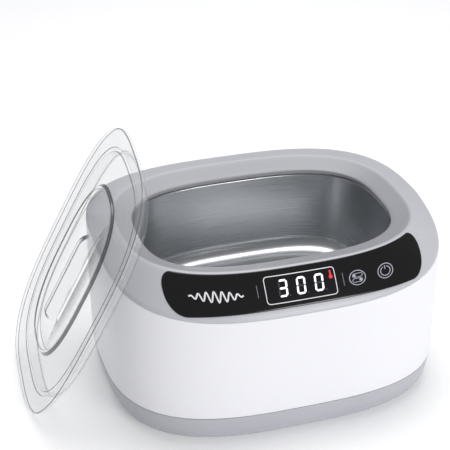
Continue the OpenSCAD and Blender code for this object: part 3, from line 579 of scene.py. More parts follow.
def segment(cx, cy, length, thick, upright):
    """Six-cornered bar of a digit."""
    a, b = length / 2, thick / 2
    bar = [(-a, 0), (-a + b, b), (a - b, b), (a, 0), (a - b, -b), (-a + b, -b)]
    return [(cx - y, cy + x) if upright else (cx + x, cy + y) for x, y in bar]


lean = 0.06
digit_w, digit_h, bar_t, bar_gap = 5.0, 10.0, 1.25, 0.25
digit_line = SLOPE * 0.585
lit, unlit = [], []
for centre, value in ((-14.9, "3"), (-2.4, "0"), (10.1, "0")):
    wanted = {"3": "abgcd", "0": "abcdef"}[value]
    for key, (px, py, upright) in {
        "a": (0, 1, False), "b": (0.5, 0.5, True), "c": (0.5, -0.5, True), "d": (0, -1, False),
        "e": (-0.5, -0.5, True), "f": (-0.5, 0.5, True), "g": (0, 0, False),
    }.items():
        long = digit_h / 2 - bar_gap if upright else digit_w - bar_gap
        bar = segment(px * digit_w, py * digit_h / 2, long, bar_t, upright)
        bar = [(centre + x + y * lean, digit_line + y) for x, y in bar]
        (lit if key in wanted else unlit).append(plate(bar))
    unlit.append(plate(arc(centre + 4.1, digit_line - 5.1, 0.55, 0, 345, 15)))

# LED segments behind the smoked window: cool white light, even over each bar.
led_white, tree, shader, place = new_finish("led_white", "#f4f6fb", 0.4)
shader.inputs["Emission Color"].default_value = linear("#f6f8ff")
shader.inputs["Emission Strength"].default_value = 0.9
print_on_panel("display_lit_segments", lit, led_white, 0.05)
# Unlit LED segments: grey diffuser plastic seen through the smoked window.
led_dark, tree, shader, place = new_finish("led_diffuser_unlit", "#38383b", 0.3)
print_on_panel("display_unlit_segments", unlit, led_dark, 0.05)

# Screen print: matt white ink a few hundredths thick, its edge slightly soft with ink grain.
def screen_ink(name, colour, roughness, dark, light):
    """Printing ink with a speck some 0.2 mm across."""
    ink, tree, shader, place = new_finish(name, colour, roughness)
    speck = add_node(tree, "ShaderNodeTexNoise", {"Vector": place, "Scale": 5000.0, "Detail": 2.0})
    tone = add_node(tree, "ShaderNodeMix", {
        "Factor": speck.outputs["Fac"], "A": linear(dark), "B": linear(light)}, data_type="RGBA")
    tree.links.new(tone.outputs["Result"], shader.inputs["Base Color"])
    return ink


white_ink = screen_ink("screen_ink_white", "#ececf0", 0.55, "#e2e2e7", "#f6f6f9")
wave_left, wave_w, wave_h, wave_count = -76.0, 34.5, 3.4, 7
pulse = []
for along in [k / 90 for k in range(91)]:
    swing = math.sin(along * wave_count * 2 * math.pi) * math.sin(along * math.pi) ** 0.8
    pulse.append((wave_left + wave_w * along, SLOPE * 0.54 + wave_h * swing))
print_on_panel("wave_mark", [stroke(pulse, 1.0)], white_ink)
frame_line = oblong(-2.6, SLOPE * 0.57, 48.6, 17.6, 2.2)
print_on_panel("display_frame", [stroke(frame_line, 0.55, closed=True)], white_ink)

lilac_ink = screen_ink("screen_ink_pale_lilac", "#b4b4c2", 0.5, "#a9a9b9", "#bfbfcc")
key_squash = 0.8
key_r, key_line = 5.8, 0.6


def key_print(name, across, up, shapes):
    """Prints a key's sign round its place, a little flattened."""
    placed = [([Vector((across + p[0], up + p[1] * key_squash)) for p in outline], sides)
              for outline, sides in shapes]
    return print_on_panel(name, placed, lilac_ink)


key_print("mode_key", 37.2, SLOPE * 0.53, [
    stroke(arc(0, 0, key_r, 0, 354, 59), key_line, closed=True),
    stroke(oblong(0.2, 1.95, 7.2, 2.9, 1.4), 0.45, closed=True),
    stroke(oblong(-0.2, -1.95, 7.2, 2.9, 1.4), 0.45, closed=True),
    plate(arc(-2.0, 1.95, 1.0, 0, 340, 17)), plate(arc(2.0, -1.95, 1.0, 0, 340, 17)),
])
key_print("power_key", 58.4, SLOPE * 0.51, [
    stroke(arc(0, 0, key_r, 0, 354, 59), key_line, closed=True),
    stroke(arc(0, 0, 3.7, 112, 428, 48), key_line),
    stroke([(0, 1.3), (0, 2.8), (0, 4.3)], key_line),
])
grey_ink, tree, shader, place = new_finish("screen_ink_grey", "#6e6e72", 0.5)
print_on_panel("divider_marks", [
    stroke([(x, SLOPE * (a + (b - a) * k / 6)) for k in range(7)], 0.6)
    for x, a, b in ((-32.2, 0.46, 0.70), (27.1, 0.43, 0.68))], grey_ink)
# Heating light: a red LED behind a thermometer-shaped mask.
led_red, tree, shader, place = new_finish("led_red", "#d2303c", 0.4)
shader.inputs["Emission Color"].default_value = linear("#e02836")
shader.inputs["Emission Strength"].default_value = 0.55
print_on_panel("heat_light", [
    plate(arc(18.7, SLOPE * 0.655, 1.3, 0, 345, 20)),
    stroke([(18.7, SLOPE * 0.65), (18.7, SLOPE * 0.78)], 1.2),
], led_red)

# ---------------------------------------------------------------------------------------------
# Tank: deep-drawn stainless sheet 0.8 mm thick, hung by its flange under the deck's rim, with a
# large radius between wall and floor.
low, high = [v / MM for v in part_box("tank")]
flange_z, floor_z = high.z, low.z
drip_edge = 1
tank_half = inset(open_half, -drip_edge)
draft, bend, sheet = 5.0, 12.0, 0.8


def tank_wall(d, top):
    """Rings of one face of the tank from a height down to the floor, d outside the inner face."""
    r = bend - sheet + d
    turns = [i * math.pi / 24 for i in range(13)]
    return [(oval(inset(tank_half, -d), top), 0.3)] + [
        (oval(inset(tank_half, draft - d + r * (1 - math.cos(a))), floor_z + bend - r * math.sin(a)), 0)
        for a in turns]


tank = loft("tank", rounded_section(
    tank_wall(sheet, flange_z - sheet)[::-1]
    + [(oval((high.x, high.y), flange_z - sheet), 0.3), (oval((high.x, high.y), flange_z), 0.3),
       (oval(inset(tank_half, -1), flange_z), 0.6)]
    + tank_wall(0, flange_z - 1), closed=False), closed=False)

# Satin stainless steel: cool mid grey, brushed round the wall and along the floor with 0.3 mm
# lines, and a slow change of tone from the press.
satin_steel, tree, shader, place = new_finish("stainless_satin", "#b4b6ba", 0.3, metallic=1.0)
round_map = add_node(tree, "ShaderNodeMapping", {"Vector": place, "Scale": (25.0, 25.0, 3000.0)})
along_map = add_node(tree, "ShaderNodeMapping", {"Vector": place, "Scale": (25.0, 3000.0, 25.0)})
round_lines = add_node(tree, "ShaderNodeTexNoise", {
    "Vector": round_map.outputs["Vector"], "Scale": 1.0, "Detail": 4.0})
along_lines = add_node(tree, "ShaderNodeTexNoise", {
    "Vector": along_map.outputs["Vector"], "Scale": 1.0, "Detail": 4.0})
facing = add_node(tree, "ShaderNodeNewGeometry")
up = add_node(tree, "ShaderNodeSeparateXYZ", {"Vector": facing.outputs["Normal"]})
flat = add_node(tree, "ShaderNodeMapRange", {"Value": up.outputs["Z"], "From Min": 0.6, "From Max": 0.9})
lines = add_node(tree, "ShaderNodeMix", {
    "Factor": flat.outputs["Result"], "A": round_lines.outputs["Fac"], "B": along_lines.outputs["Fac"]})
span = add_node(tree, "ShaderNodeMapRange", {"Value": lines.outputs["Result"], "To Min": 0.2, "To Max": 0.4})
tree.links.new(span.outputs["Result"], shader.inputs["Roughness"])
press = add_node(tree, "ShaderNodeTexNoise", {"Vector": place, "Scale": 14.0, "Detail": 2.0})
tone = add_node(tree, "ShaderNodeMix", {
    "Factor": press.outputs["Fac"], "A": linear("#c0c2c5"), "B": linear("#d8dadc")}, data_type="RGBA")
tree.links.new(tone.outputs["Result"], shader.inputs["Base Color"])
brush = add_node(tree, "ShaderNodeBump", {
    "Strength": 0.12, "Distance": 0.00005, "Height": lines.outputs["Result"]})
tree.links.new(brush.outputs["Normal"], shader.inputs["Normal"])
tank.data.materials.append(satin_steel)
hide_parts("tank")
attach(tank, "housing")

# ---------------------------------------------------------------------------------------------
# Lid: one clear SAN moulding with rounded edges, a skirt that drops into the tank, and an oval
# pocket with a raised lip round an upright finger grip. It leans on the casing's left side.
lean_angle, twist = 65.0, -8.0
lid_t, skirt_h, skirt_t = 3.0, 9.0, 2.0
lid_half = (crest_half[0] - 2.5, crest_half[1] - 8)
skirt_half = inset(open_half, 1.5)
pocket, lip_w, lip_h, pocket_floor = (62.0, 35.5), 1.8, 2.2, -1.8
lid_power = 3.2
under = -lid_t
lid = loft("lid", rounded_section([
    (oval((12, 7), under, 2.7), 0), (oval(inset(skirt_half, skirt_t), under, lid_power), 1.2),
    (oval(inset(skirt_half, skirt_t), under - skirt_h, lid_power), 0.6),
    (oval(skirt_half, under - skirt_h, lid_power), 0.8), (oval(skirt_half, under, lid_power), 1.2),
    (oval(lid_half, under, lid_power), 0.9), (oval(lid_half, 0, lid_power), 1.3),
    (oval(inset(pocket, -lip_w - 1.5), 0, 2.7), 1.0), (oval(inset(pocket, -lip_w), lip_h, 2.7), 0.8),
    (oval(pocket, lip_h, 2.7), 0.7), (oval(inset(pocket, 0.4), pocket_floor, 2.7), 0.6),
    (oval((11, 6), pocket_floor, 2.7), 0),
], closed=False, steps=6), closed=False)

# The grip: a rounded upright blade on the pocket's floor.
grip_l, grip_h, grip_t, grip_front = 74.0, 12.5, 5.0, -12.0
radius = grip_h * 0.7
face = ([(-grip_l / 2, -0.4), (grip_l / 2, -0.4)]
        + arc(grip_l / 2 - radius, grip_h - radius, radius, 0, 90, 12)
        + arc(-grip_l / 2 + radius, grip_h - radius, radius, 90, 180, 12))
shape = bmesh.new()
loop = [shape.verts.new(Vector((x, grip_front, pocket_floor + z)) * MM) for x, z in face]
front_face = shape.faces.new(loop)
pulled = bmesh.ops.extrude_face_region(shape, geom=[front_face])
far_face = [v for v in pulled["geom"] if isinstance(v, bmesh.types.BMVert)]
bmesh.ops.translate(shape, vec=(0, grip_t * MM, 0), verts=far_face)
bmesh.ops.recalc_face_normals(shape, faces=shape.faces)
grip = shaped("grip", shape)
rounding = grip.modifiers.new("rounding", "BEVEL")
rounding.width, rounding.segments, rounding.limit_method = 1.0 * MM, 4, "ANGLE"
bake(grip)
cut(lid, grip, "UNION")
# Painted shade along the lid's rounded edges: strongest where a fillet turns halfway from the face to the
# side.
rim_shade = lid.data.attributes.new("rim_shade", "FLOAT", "POINT")
for v, spot in zip(lid.data.vertices, rim_shade.data):
    spot.value = 4 * v.normal.z**2 * (1 - v.normal.z**2)
leaning = Matrix.Rotation(math.radians(-lean_angle), 4, "Y")
lid.data.transform(leaning @ Matrix.Rotation(math.radians(twist), 4, "Z"))
corners = np.array([v.co for v in lid.data.vertices])
low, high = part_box("lid")
shift = (low + high) / 2 - Vector((corners.min(0) + corners.max(0)) / 2)
lid.data.transform(Matrix.Translation(shift))
lid.data.shade_smooth()
for edge_line in lid.data.edges:
    edge_line.use_edge_sharp = False

# Clear SAN plastic: almost colourless, a little milky where it turns away from the eye, and painted dark
# along its rounded corners, painted shade for the light that is bent aside there. Moulding streaks run some
# 30 mm long.
clear_san, tree, shader, place = new_finish("clear_san_plastic", "#eceff1", 0.05, ior=1.57)
rim_shade_mask = add_node(tree, "ShaderNodeAttribute", attribute_name="rim_shade").outputs["Fac"]
turn = add_node(tree, "ShaderNodeLayerWeight", {"Blend": 0.35})
veil = add_node(tree, "ShaderNodeMapRange", {
    "Value": turn.outputs["Facing"], "From Min": 0.4, "From Max": 0.98, "To Min": 0.07, "To Max": 0.5})
rim_shade_alpha = add_node(tree, "ShaderNodeMapRange", {
    "Value": rim_shade_mask, "From Min": 0.12, "From Max": 0.8, "To Min": 0.0, "To Max": 0.85})
cover = add_node(tree, "ShaderNodeMath", {
    0: veil.outputs["Result"], 1: rim_shade_alpha.outputs["Result"]}, operation="MAXIMUM")
tree.links.new(cover.outputs[0], shader.inputs["Alpha"])
# Painted shade: the colour goes from pale plastic to near black along the rounded edges.
shade = add_node(tree, "ShaderNodeMix", {
    "Factor": rim_shade_mask, "A": linear("#e2e5e8"), "B": linear("#1d2022")}, data_type="RGBA")
tree.links.new(shade.outputs["Result"], shader.inputs["Base Color"])
streak = add_node(tree, "ShaderNodeTexNoise", {"Vector": place, "Scale": 30.0, "Detail": 2.0})
span = add_node(tree, "ShaderNodeMapRange", {"Value": streak.outputs["Fac"], "To Min": 0.03, "To Max": 0.09})
tree.links.new(span.outputs["Result"], shader.inputs["Roughness"])
lid.data.materials.append(clear_san)
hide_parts("lid")
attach(lid, "lid")

# ---------------------------------------------------------------------------------------------
# Screws: zinc-plated pan-head self-tappers, 3 mm, cold-formed with a cross recess. Four hold the
# casing through the tray's posts, and the rest hold the two boards and the tank clips.
def open_tree(name, sizes):
    """A Geometry Nodes tree that takes places, the named sizes and a finish, and gives pieces."""
    made = bpy.data.node_groups.new(name, "GeometryNodeTree")
    made.interface.new_socket("Places", in_out="INPUT", socket_type="NodeSocketGeometry")
    for size_name, kind, default in sizes:
        socket = made.interface.new_socket(size_name, in_out="INPUT", socket_type="NodeSocket" + kind)
        socket.default_value = default
    made.interface.new_socket("Finish", in_out="INPUT", socket_type="NodeSocketMaterial")
    made.interface.new_socket("Pieces", in_out="OUTPUT", socket_type="NodeSocketGeometry")
    return made, add_node(made, "NodeGroupInput").outputs


def end_tree(made, given, geometry):
    """Makes the instances real, gives them the finish, and sends them out."""
    real = add_node(made, "GeometryNodeRealizeInstances", {"Geometry": geometry})
    coated = add_node(made, "GeometryNodeSetMaterial", {
        "Geometry": real.outputs[0], "Material": given["Finish"]})
    made.links.new(coated.outputs[0], add_node(made, "NodeGroupOutput").inputs[0])


screw_tree, given = open_tree("self_tapping_screws", (
    ("Head Diameter", "Float", 2 * head_r * MM), ("Head Height", "Float", head_h * MM),
    ("Shank Diameter", "Float", 0.0029), ("Length", "Float", 0.01), ("Pitch", "Float", 0.00135),
    ("Direction", "Vector", (0, 0, 1))))
half_head = add_node(screw_tree, "ShaderNodeMath", {0: given["Head Diameter"], 1: 0.5}, operation="MULTIPLY")
dome = add_node(screw_tree, "GeometryNodeMeshUVSphere", {
    "Segments": 28, "Rings": 12, "Radius": half_head.outputs[0]})
flatten = add_node(screw_tree, "ShaderNodeMath", {
    0: given["Head Height"], 1: half_head.outputs[0]}, operation="DIVIDE")
squash = add_node(screw_tree, "ShaderNodeCombineXYZ", {"X": 1.0, "Y": 1.0, "Z": flatten.outputs[0]})
flat_dome = add_node(screw_tree, "GeometryNodeTransform", {
    "Geometry": dome.outputs["Mesh"], "Scale": squash.outputs[0]})
cross = []
for size in ((0.0034, 0.0007, 0.0026), (0.0007, 0.0034, 0.0026)):
    bar = add_node(screw_tree, "GeometryNodeMeshCube", {"Size": size})
    sink = add_node(screw_tree, "ShaderNodeMath", {0: given["Head Height"], 1: -1.0}, operation="MULTIPLY")
    down = add_node(screw_tree, "ShaderNodeCombineXYZ", {"Z": sink.outputs[0]})
    cross.append(add_node(screw_tree, "GeometryNodeTransform", {
        "Geometry": bar.outputs["Mesh"], "Translation": down.outputs[0]}).outputs[0])
upper = add_node(screw_tree, "GeometryNodeMeshCube", {"Size": (0.02, 0.02, 0.02)})
lifted = add_node(screw_tree, "GeometryNodeTransform", {
    "Geometry": upper.outputs["Mesh"], "Translation": (0, 0, 0.01)})
head = add_node(screw_tree, "GeometryNodeMeshBoolean", {
    "Mesh 1": flat_dome.outputs[0]}, operation="DIFFERENCE")
for cutter in cross + [lifted.outputs[0]]:
    screw_tree.links.new(cutter, head.inputs["Mesh 2"])
core = add_node(screw_tree, "ShaderNodeMath", {0: given["Shank Diameter"], 1: 0.36}, operation="MULTIPLY")
shank = add_node(screw_tree, "GeometryNodeMeshCylinder", {
    "Vertices": 24, "Radius": core.outputs[0], "Depth": given["Length"]})
half_length = add_node(screw_tree, "ShaderNodeMath", {0: given["Length"], 1: 0.5}, operation="MULTIPLY")
up = add_node(screw_tree, "ShaderNodeCombineXYZ", {"Z": half_length.outputs[0]})
raised = add_node(screw_tree, "GeometryNodeTransform", {
    "Geometry": shank.outputs["Mesh"], "Translation": up.outputs[0]})
turns = add_node(screw_tree, "ShaderNodeMath", {0: given["Length"], 1: given["Pitch"]}, operation="DIVIDE")
crest = add_node(screw_tree, "ShaderNodeMath", {0: given["Shank Diameter"], 1: 0.43}, operation="MULTIPLY")
rise = add_node(screw_tree, "ShaderNodeMath", {0: given["Length"], 1: 0.94}, operation="MULTIPLY")
helix = add_node(screw_tree, "GeometryNodeCurveSpiral", {
    "Resolution": 18, "Rotations": turns.outputs[0], "Start Radius": crest.outputs[0],
    "End Radius": crest.outputs[0], "Height": rise.outputs[0]})
ridge_r = add_node(screw_tree, "ShaderNodeMath", {0: given["Shank Diameter"], 1: 0.07}, operation="MULTIPLY")
ridge = add_node(screw_tree, "GeometryNodeCurvePrimitiveCircle", {
    "Resolution": 4, "Radius": ridge_r.outputs[0]})
thread = add_node(screw_tree, "GeometryNodeCurveToMesh", {
    "Curve": helix.outputs["Curve"], "Profile Curve": ridge.outputs["Curve"], "Fill Caps": True})
lift_thread = add_node(screw_tree, "ShaderNodeMath", {0: given["Length"], 1: 0.03}, operation="MULTIPLY")
start = add_node(screw_tree, "ShaderNodeCombineXYZ", {"Z": lift_thread.outputs[0]})
placed_thread = add_node(screw_tree, "GeometryNodeTransform", {
    "Geometry": thread.outputs["Mesh"], "Translation": start.outputs[0]})
whole = add_node(screw_tree, "GeometryNodeJoinGeometry")
for piece in (head.outputs["Mesh"], raised.outputs[0], placed_thread.outputs[0]):
    screw_tree.links.new(piece, whole.inputs[0])
turned = add_node(screw_tree, "FunctionNodeAlignRotationToVector", {"Vector": given["Direction"]}, axis="Z")
spread = add_node(screw_tree, "GeometryNodeInstanceOnPoints", {
    "Points": given["Places"], "Instance": whole.outputs[0], "Rotation": turned.outputs[0]})
end_tree(screw_tree, given, spread.outputs[0])


def grow(name, places, tree_used, **sizes):
    """Runs a Geometry Nodes tree on a set of points in metres and keeps the plain mesh."""
    mesh = bpy.data.meshes.new(name)
    mesh.from_pydata(places, [], [])
    made = put_in_scene(name, mesh)
    step = made.modifiers.new("tree", "NODES")
    step.node_group = tree_used
    keys = {item.name: item.identifier for item in tree_used.interface.items_tree if item.in_out == "INPUT"}
    for key, value in sizes.items():
        step[keys[key.replace("_", " ")]] = value
    return bake(made)


# Bright zinc plate with a clear passivate: silvery with a trace of blue, its gloss mottled over
# 2 mm and its surface finely pitted.
zinc, tree, shader, place = new_finish("zinc_plate", "#b9bcc2", 0.32, metallic=1.0)
mottle = add_node(tree, "ShaderNodeTexNoise", {"Vector": place, "Scale": 500.0, "Detail": 4.0})
span = add_node(tree, "ShaderNodeMapRange", {"Value": mottle.outputs["Fac"], "To Min": 0.24, "To Max": 0.42})
tree.links.new(span.outputs["Result"], shader.inputs["Roughness"])
pits = add_node(tree, "ShaderNodeBump", {
    "Strength": 0.1, "Distance": 0.00004, "Height": mottle.outputs["Fac"]})
tree.links.new(pits.outputs["Normal"], shader.inputs["Normal"])

board_t, board_screw_rise = 0.0016, 0.0065
board_middle = sum(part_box("touch_board"), Vector()) / 2
for node in ("casing_screws", "power_board_screws", "clip_screws", "touch_board_screws"):
    low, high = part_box(node)
    direction = Vector((0, 0, -1 if node == "power_board_screws" else 1))
    length = high.z - low.z - head_h * MM
    seat = high.z - head_h * MM if direction.z < 0 else low.z + head_h * MM
    left, right = low.x + head_r * MM, high.x - head_r * MM
    spots = [(x, y, seat) for x in (left, right) for y in (low.y + head_r * MM, high.y - head_r * MM)]
    if node == "touch_board_screws":
        direction = slope_out
        along = Vector((0, math.cos(lean_up), math.sin(lean_up)))
        board_back = board_middle - slope_out * board_t / 2
        length = 0.0056
        spots = [Vector((x, board_back.y, board_back.z)) + along * s * board_screw_rise
                 for x in (left, right) for s in (-1, 1)]
    screws = grow(node, [tuple(p) for p in spots], screw_tree,
                  Length=length, Direction=tuple(direction), Finish=zinc)
    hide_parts(node)
    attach(screws, "housing")

# ---------------------------------------------------------------------------------------------
# Touch springs: two coil springs of tinned spring wire under the keys, wound close and soldered
# to the touch board, that carry the touch signal to the panel.
spring_d = 0.007
spring_tree, given = open_tree("touch_spring_coils", (
    ("Coil Diameter", "Float", spring_d), ("Wire", "Float", 0.0006), ("Height", "Float", 0.006),
    ("Turns", "Float", 6.0), ("Direction", "Vector", (0, 0, 1))))
inside = add_node(spring_tree, "ShaderNodeMath", {
    0: given["Coil Diameter"], 1: given["Wire"]}, operation="SUBTRACT")
coil_r = add_node(spring_tree, "ShaderNodeMath", {0: inside.outputs[0], 1: 0.5}, operation="MULTIPLY")
wire_r = add_node(spring_tree, "ShaderNodeMath", {0: given["Wire"], 1: 0.5}, operation="MULTIPLY")
rise = add_node(spring_tree, "ShaderNodeMath", {0: given["Height"], 1: given["Wire"]}, operation="SUBTRACT")
coil = add_node(spring_tree, "GeometryNodeCurveSpiral", {
    "Resolution": 28, "Rotations": given["Turns"], "Start Radius": coil_r.outputs[0],
    "End Radius": coil_r.outputs[0], "Height": rise.outputs[0]})
round_wire = add_node(spring_tree, "GeometryNodeCurvePrimitiveCircle", {
    "Resolution": 8, "Radius": wire_r.outputs[0]})
wound = add_node(spring_tree, "GeometryNodeCurveToMesh", {
    "Curve": coil.outputs["Curve"], "Profile Curve": round_wire.outputs["Curve"], "Fill Caps": True})
lift = add_node(spring_tree, "ShaderNodeCombineXYZ", {"Z": wire_r.outputs[0]})
seated = add_node(spring_tree, "GeometryNodeTransform", {
    "Geometry": wound.outputs["Mesh"], "Translation": lift.outputs[0]})
turned = add_node(spring_tree, "FunctionNodeAlignRotationToVector", {"Vector": given["Direction"]}, axis="Z")
spread = add_node(spring_tree, "GeometryNodeInstanceOnPoints", {
    "Points": given["Places"], "Instance": seated.outputs[0], "Rotation": turned.outputs[0]})
end_tree(spring_tree, given, spread.outputs[0])

# Tinned spring wire: bright and slightly warm, with drawing marks about 0.5 mm apart.
tinned, tree, shader, place = new_finish("tinned_wire", "#cfcdc6", 0.28, metallic=1.0)
draw = add_node(tree, "ShaderNodeTexNoise", {"Vector": place, "Scale": 1800.0, "Detail": 3.0})
span = add_node(tree, "ShaderNodeMapRange", {"Value": draw.outputs["Fac"], "To Min": 0.2, "To Max": 0.38})
tree.links.new(span.outputs["Result"], shader.inputs["Roughness"])
low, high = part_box("touch_springs")
board_face = board_middle + slope_out * board_t / 2
keys = (low.x + spring_d / 2, high.x - spring_d / 2)
coils = grow("touch_springs", [(x, board_face.y, board_face.z) for x in keys], spring_tree,
             Height=0.0044, Direction=tuple(slope_out), Finish=tinned)
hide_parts("touch_springs")
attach(coils, "housing")

# ---------------------------------------------------------------------------------------------
# Heat sink: extruded aluminium, a thick back and five fins with finely ribbed sides, anodised
# in its natural colour and screwed to the board's left edge with the two power transistors.
fin_tree, given = open_tree("heat_sink_ribs", (("Rib Size", "Vector", (0.0006, 0.0003, 0.03)),))
rib = add_node(fin_tree, "GeometryNodeMeshCube", {"Size": given["Rib Size"]})
spread = add_node(fin_tree, "GeometryNodeInstanceOnPoints", {
    "Points": given["Places"], "Instance": rib.outputs["Mesh"]})
end_tree(fin_tree, given, spread.outputs[0])


def finish_node(name, finish):
    """Gives a carried-over part its material."""
    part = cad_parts[name]
    for slot in part.material_slots:
        slot.material = finish


# Natural anodised aluminium: pale matt grey, with extrusion lines 0.4 mm apart up the fins.
anodised, tree, shader, place = new_finish("anodised_aluminium", "#a9adb1", 0.42, metallic=1.0)
drawn = add_node(tree, "ShaderNodeMapping", {"Vector": place, "Scale": (2600.0, 2600.0, 12.0)})
die = add_node(tree, "ShaderNodeTexNoise", {"Vector": drawn.outputs["Vector"], "Scale": 1.0, "Detail": 2.0})
span = add_node(tree, "ShaderNodeMapRange", {"Value": die.outputs["Fac"], "To Min": 0.34, "To Max": 0.52})
tree.links.new(span.outputs["Result"], shader.inputs["Roughness"])
die_marks = add_node(tree, "ShaderNodeBump", {
    "Strength": 0.15, "Distance": 0.00004, "Height": die.outputs["Fac"]})
tree.links.new(die_marks.outputs["Normal"], shader.inputs["Normal"])
finish_node("heat_sink", anodised)
low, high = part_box("heat_sink")
middle = (low.z + high.z) / 2
rib_pitch, fin_pitch, fin_t, rib_proud = 0.0014, 0.01, 0.002, 0.00012
spots = [(low.x + 0.0055 + k * rib_pitch, low.y + 0.001 + fin * fin_pitch + side, middle)
         for fin in range(5) for k in range(5) for side in (-rib_proud, fin_t + rib_proud)]
ribs = grow("heat_sink_ribs", spots, fin_tree,
            Rib_Size=(0.0006, 0.00026, (high.z - low.z) * 0.98), Finish=anodised)
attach(ribs, "housing")

# ---------------------------------------------------------------------------------------------
# Choke: thick enamelled copper wire, 26 turns wound close round a ferrite ring that stands on
# the board.
wind_tree, given = open_tree("choke_winding", (
    ("Ring Radius", "Float", 0.006), ("Wire", "Float", 0.0012), ("Loop Radius", "Float", 0.0054),
    ("Turns", "Int", 26)))
ring = add_node(wind_tree, "GeometryNodeMeshCircle", {
    "Vertices": given["Turns"], "Radius": given["Ring Radius"]})
stood = add_node(wind_tree, "GeometryNodeTransform", {
    "Geometry": ring.outputs["Mesh"], "Rotation": (math.pi / 2, 0, 0)})
loop = add_node(wind_tree, "GeometryNodeCurvePrimitiveCircle", {
    "Resolution": 24, "Radius": given["Loop Radius"]})
wire_r = add_node(wind_tree, "ShaderNodeMath", {0: given["Wire"], 1: 0.5}, operation="MULTIPLY")
section = add_node(wind_tree, "GeometryNodeCurvePrimitiveCircle", {
    "Resolution": 6, "Radius": wire_r.outputs[0]})
turn = add_node(wind_tree, "GeometryNodeCurveToMesh", {
    "Curve": loop.outputs["Curve"], "Profile Curve": section.outputs["Curve"]})
spot = add_node(wind_tree, "GeometryNodeInputPosition")
across = add_node(wind_tree, "ShaderNodeVectorMath", {
    0: spot.outputs[0], 1: (0, 1, 0)}, operation="CROSS_PRODUCT")
facing_round = add_node(wind_tree, "FunctionNodeAlignRotationToVector", {
    "Vector": across.outputs[0]}, axis="Z")
wound = add_node(wind_tree, "GeometryNodeInstanceOnPoints", {
    "Points": stood.outputs[0], "Instance": turn.outputs["Mesh"], "Rotation": facing_round.outputs[0]})
coil = add_node(wind_tree, "GeometryNodeInstanceOnPoints", {
    "Points": given["Places"], "Instance": wound.outputs[0]})
end_tree(wind_tree, given, coil.outputs[0])

# Enamelled copper: deep orange-brown under a clear glossy varnish, uneven in tone over 3 mm.
copper, tree, shader, place = new_finish("enamelled_copper", "#a85a2c", 0.25, metallic=1.0)
shader.inputs["Coat Weight"].default_value = 0.6
varnish = add_node(tree, "ShaderNodeTexNoise", {"Vector": place, "Scale": 350.0, "Detail": 3.0})
tone = add_node(tree, "ShaderNodeMix", {
    "Factor": varnish.outputs["Fac"], "A": linear("#9a4d24"), "B": linear("#bb6a35")}, data_type="RGBA")
tree.links.new(tone.outputs["Result"], shader.inputs["Base Color"])
low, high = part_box("choke")
winding = grow("choke", [tuple((low + high) / 2)], wind_tree, Finish=copper)
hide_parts("choke")
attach(winding, "housing")


# ---------------------------------------------------------------------------------------------
# Bought-in and hidden parts, each in the stuff it is really made of. All have a grain or a
# mottle of a stated size, a gloss that changes with it, and a fine relief.
def plain_part(nodes, name, colour, second, roughness, grain_mm, metallic=0.0, ior=1.5, relief=0.12):
    """Puts one mottled material on carried-over parts, its grain given in millimetres."""
    finish, tree, shader, place = new_finish(name, colour, roughness, metallic, ior)
    grain = add_node(tree, "ShaderNodeTexNoise", {"Vector": place, "Scale": 1000.0 / grain_mm, "Detail": 4.0})
    tone = add_node(tree, "ShaderNodeMix", {
        "Factor": grain.outputs["Fac"], "A": linear(colour), "B": linear(second)}, data_type="RGBA")
    tree.links.new(tone.outputs["Result"], shader.inputs["Base Color"])
    gloss = add_node(tree, "ShaderNodeMapRange", {
        "Value": grain.outputs["Fac"], "To Min": roughness - 0.07, "To Max": roughness + 0.07})
    tree.links.new(gloss.outputs["Result"], shader.inputs["Roughness"])
    bump = add_node(tree, "ShaderNodeBump", {
        "Strength": relief, "Distance": 0.00005 * grain_mm, "Height": grain.outputs["Fac"]})
    tree.links.new(bump.outputs["Normal"], shader.inputs["Normal"])
    for node in nodes:
        finish_node(node, finish)


# Black ABS of the LED display's case; FR4 boards under green solder mask.
plain_part(["display_module"], "black_abs_case", "#1a1a1d", "#222226", 0.4, 0.5, ior=1.54)
plain_part(["touch_board", "power_board"], "green_solder_mask", "#22603a", "#2b7044", 0.3, 1.5)
# Silicone rubber seal and rubber feet: dull and slightly powdery.
plain_part(["tank_seal"], "white_silicone", "#dcdcd8", "#e6e6e2", 0.6, 1.2, ior=1.41)
plain_part(["rubber_feet"], "black_rubber", "#2a2a2c", "#363639", 0.78, 0.8, ior=1.52, relief=0.3)
# Pressed steel clips, zinc plated; turned and anodised front mass; steel back mass and bolt.
plain_part(["tank_clips"], "pressed_zinc_steel", "#a8acb1", "#bcbfc4", 0.34, 1.5, metallic=1.0)
plain_part(["front_mass"], "turned_aluminium", "#bfc3c7", "#cdd0d3", 0.3, 0.4, metallic=1.0)
plain_part(["back_mass"], "turned_steel", "#85898e", "#94989d", 0.3, 0.4, metallic=1.0)
plain_part(["preload_bolt"], "black_oxide_steel", "#3c3e41", "#4a4c50", 0.45, 0.6, metallic=1.0)
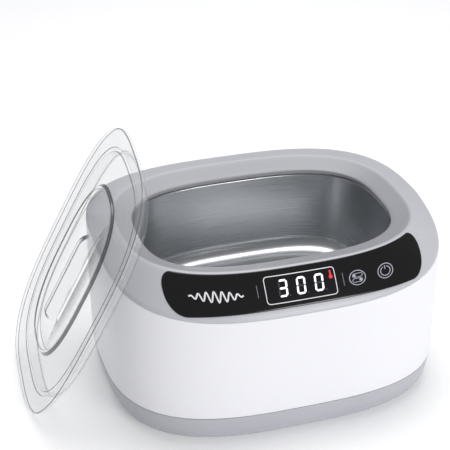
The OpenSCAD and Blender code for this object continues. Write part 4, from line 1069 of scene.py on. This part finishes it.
# Fired lead zirconate rings: dark, dull ceramic. Electrodes: half-hard brass sheet.
plain_part(["piezo_rings"], "piezo_ceramic", "#5c564c", "#6c665b", 0.62, 0.6, ior=2.0, relief=0.2)
plain_part(["electrodes"], "brass_sheet", "#c19045", "#cfa05a", 0.3, 0.8, metallic=1.0)
# Heater: etched foil in orange silicone. Cut-out: phenolic body. Relay: blue polyester case.
plain_part(["heater_mat"], "orange_silicone", "#b4552b", "#c46738", 0.6, 1.6, ior=1.41, relief=0.3)
plain_part(["thermal_cutout"], "cream_phenolic", "#d8cfba", "#e2dac7", 0.5, 0.9)
plain_part(["relay"], "blue_polyester", "#2858a0", "#3263ad", 0.36, 0.6, ior=1.57)
# Transformer: yellow polyester tape over the winding. Capacitors: dark blue shrink sleeve.
plain_part(["transformer"], "yellow_tape", "#cfae3f", "#dcbd52", 0.33, 2.4, ior=1.57)
plain_part(["capacitors"], "blue_pvc_sleeve", "#232c4a", "#2c3658", 0.28, 1.8, ior=1.53)
plain_part(["power_transistors"], "black_epoxy", "#1d1d20", "#28282b", 0.5, 0.3, ior=1.55)
plain_part(["fuse"], "nickel_and_glass", "#c9ccd0", "#d7dadd", 0.2, 0.7, metallic=1.0)
# Inlet: black glass-filled nylon, faintly mottled, with nickel-plated brass pins.
plain_part(["inlet_socket"], "black_nylon", "#161618", "#202022", 0.46, 0.45, ior=1.53, relief=0.2)
plain_part(["inlet_pins"], "nickel_plate", "#bfc0bf", "#cfd0ce", 0.2, 0.6, metallic=1.0)
# Leads: PVC insulation on the mains and transducer leads, glass sleeve on the heater's.
plain_part(["mains_leads"], "grey_pvc_lead", "#2e2e32", "#38383c", 0.42, 0.9, ior=1.53)
plain_part(["transducer_leads"], "red_pvc_lead", "#b8322b", "#c64139", 0.42, 0.9, ior=1.53)
plain_part(["heater_leads"], "glass_sleeve", "#cfcabd", "#dedacf", 0.75, 0.5, relief=0.35)
plain_part(["panel_lead"], "grey_ribbon", "#85858b", "#95959b", 0.45, 1.27, ior=1.53, relief=0.3)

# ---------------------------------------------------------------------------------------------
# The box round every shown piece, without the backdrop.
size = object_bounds()
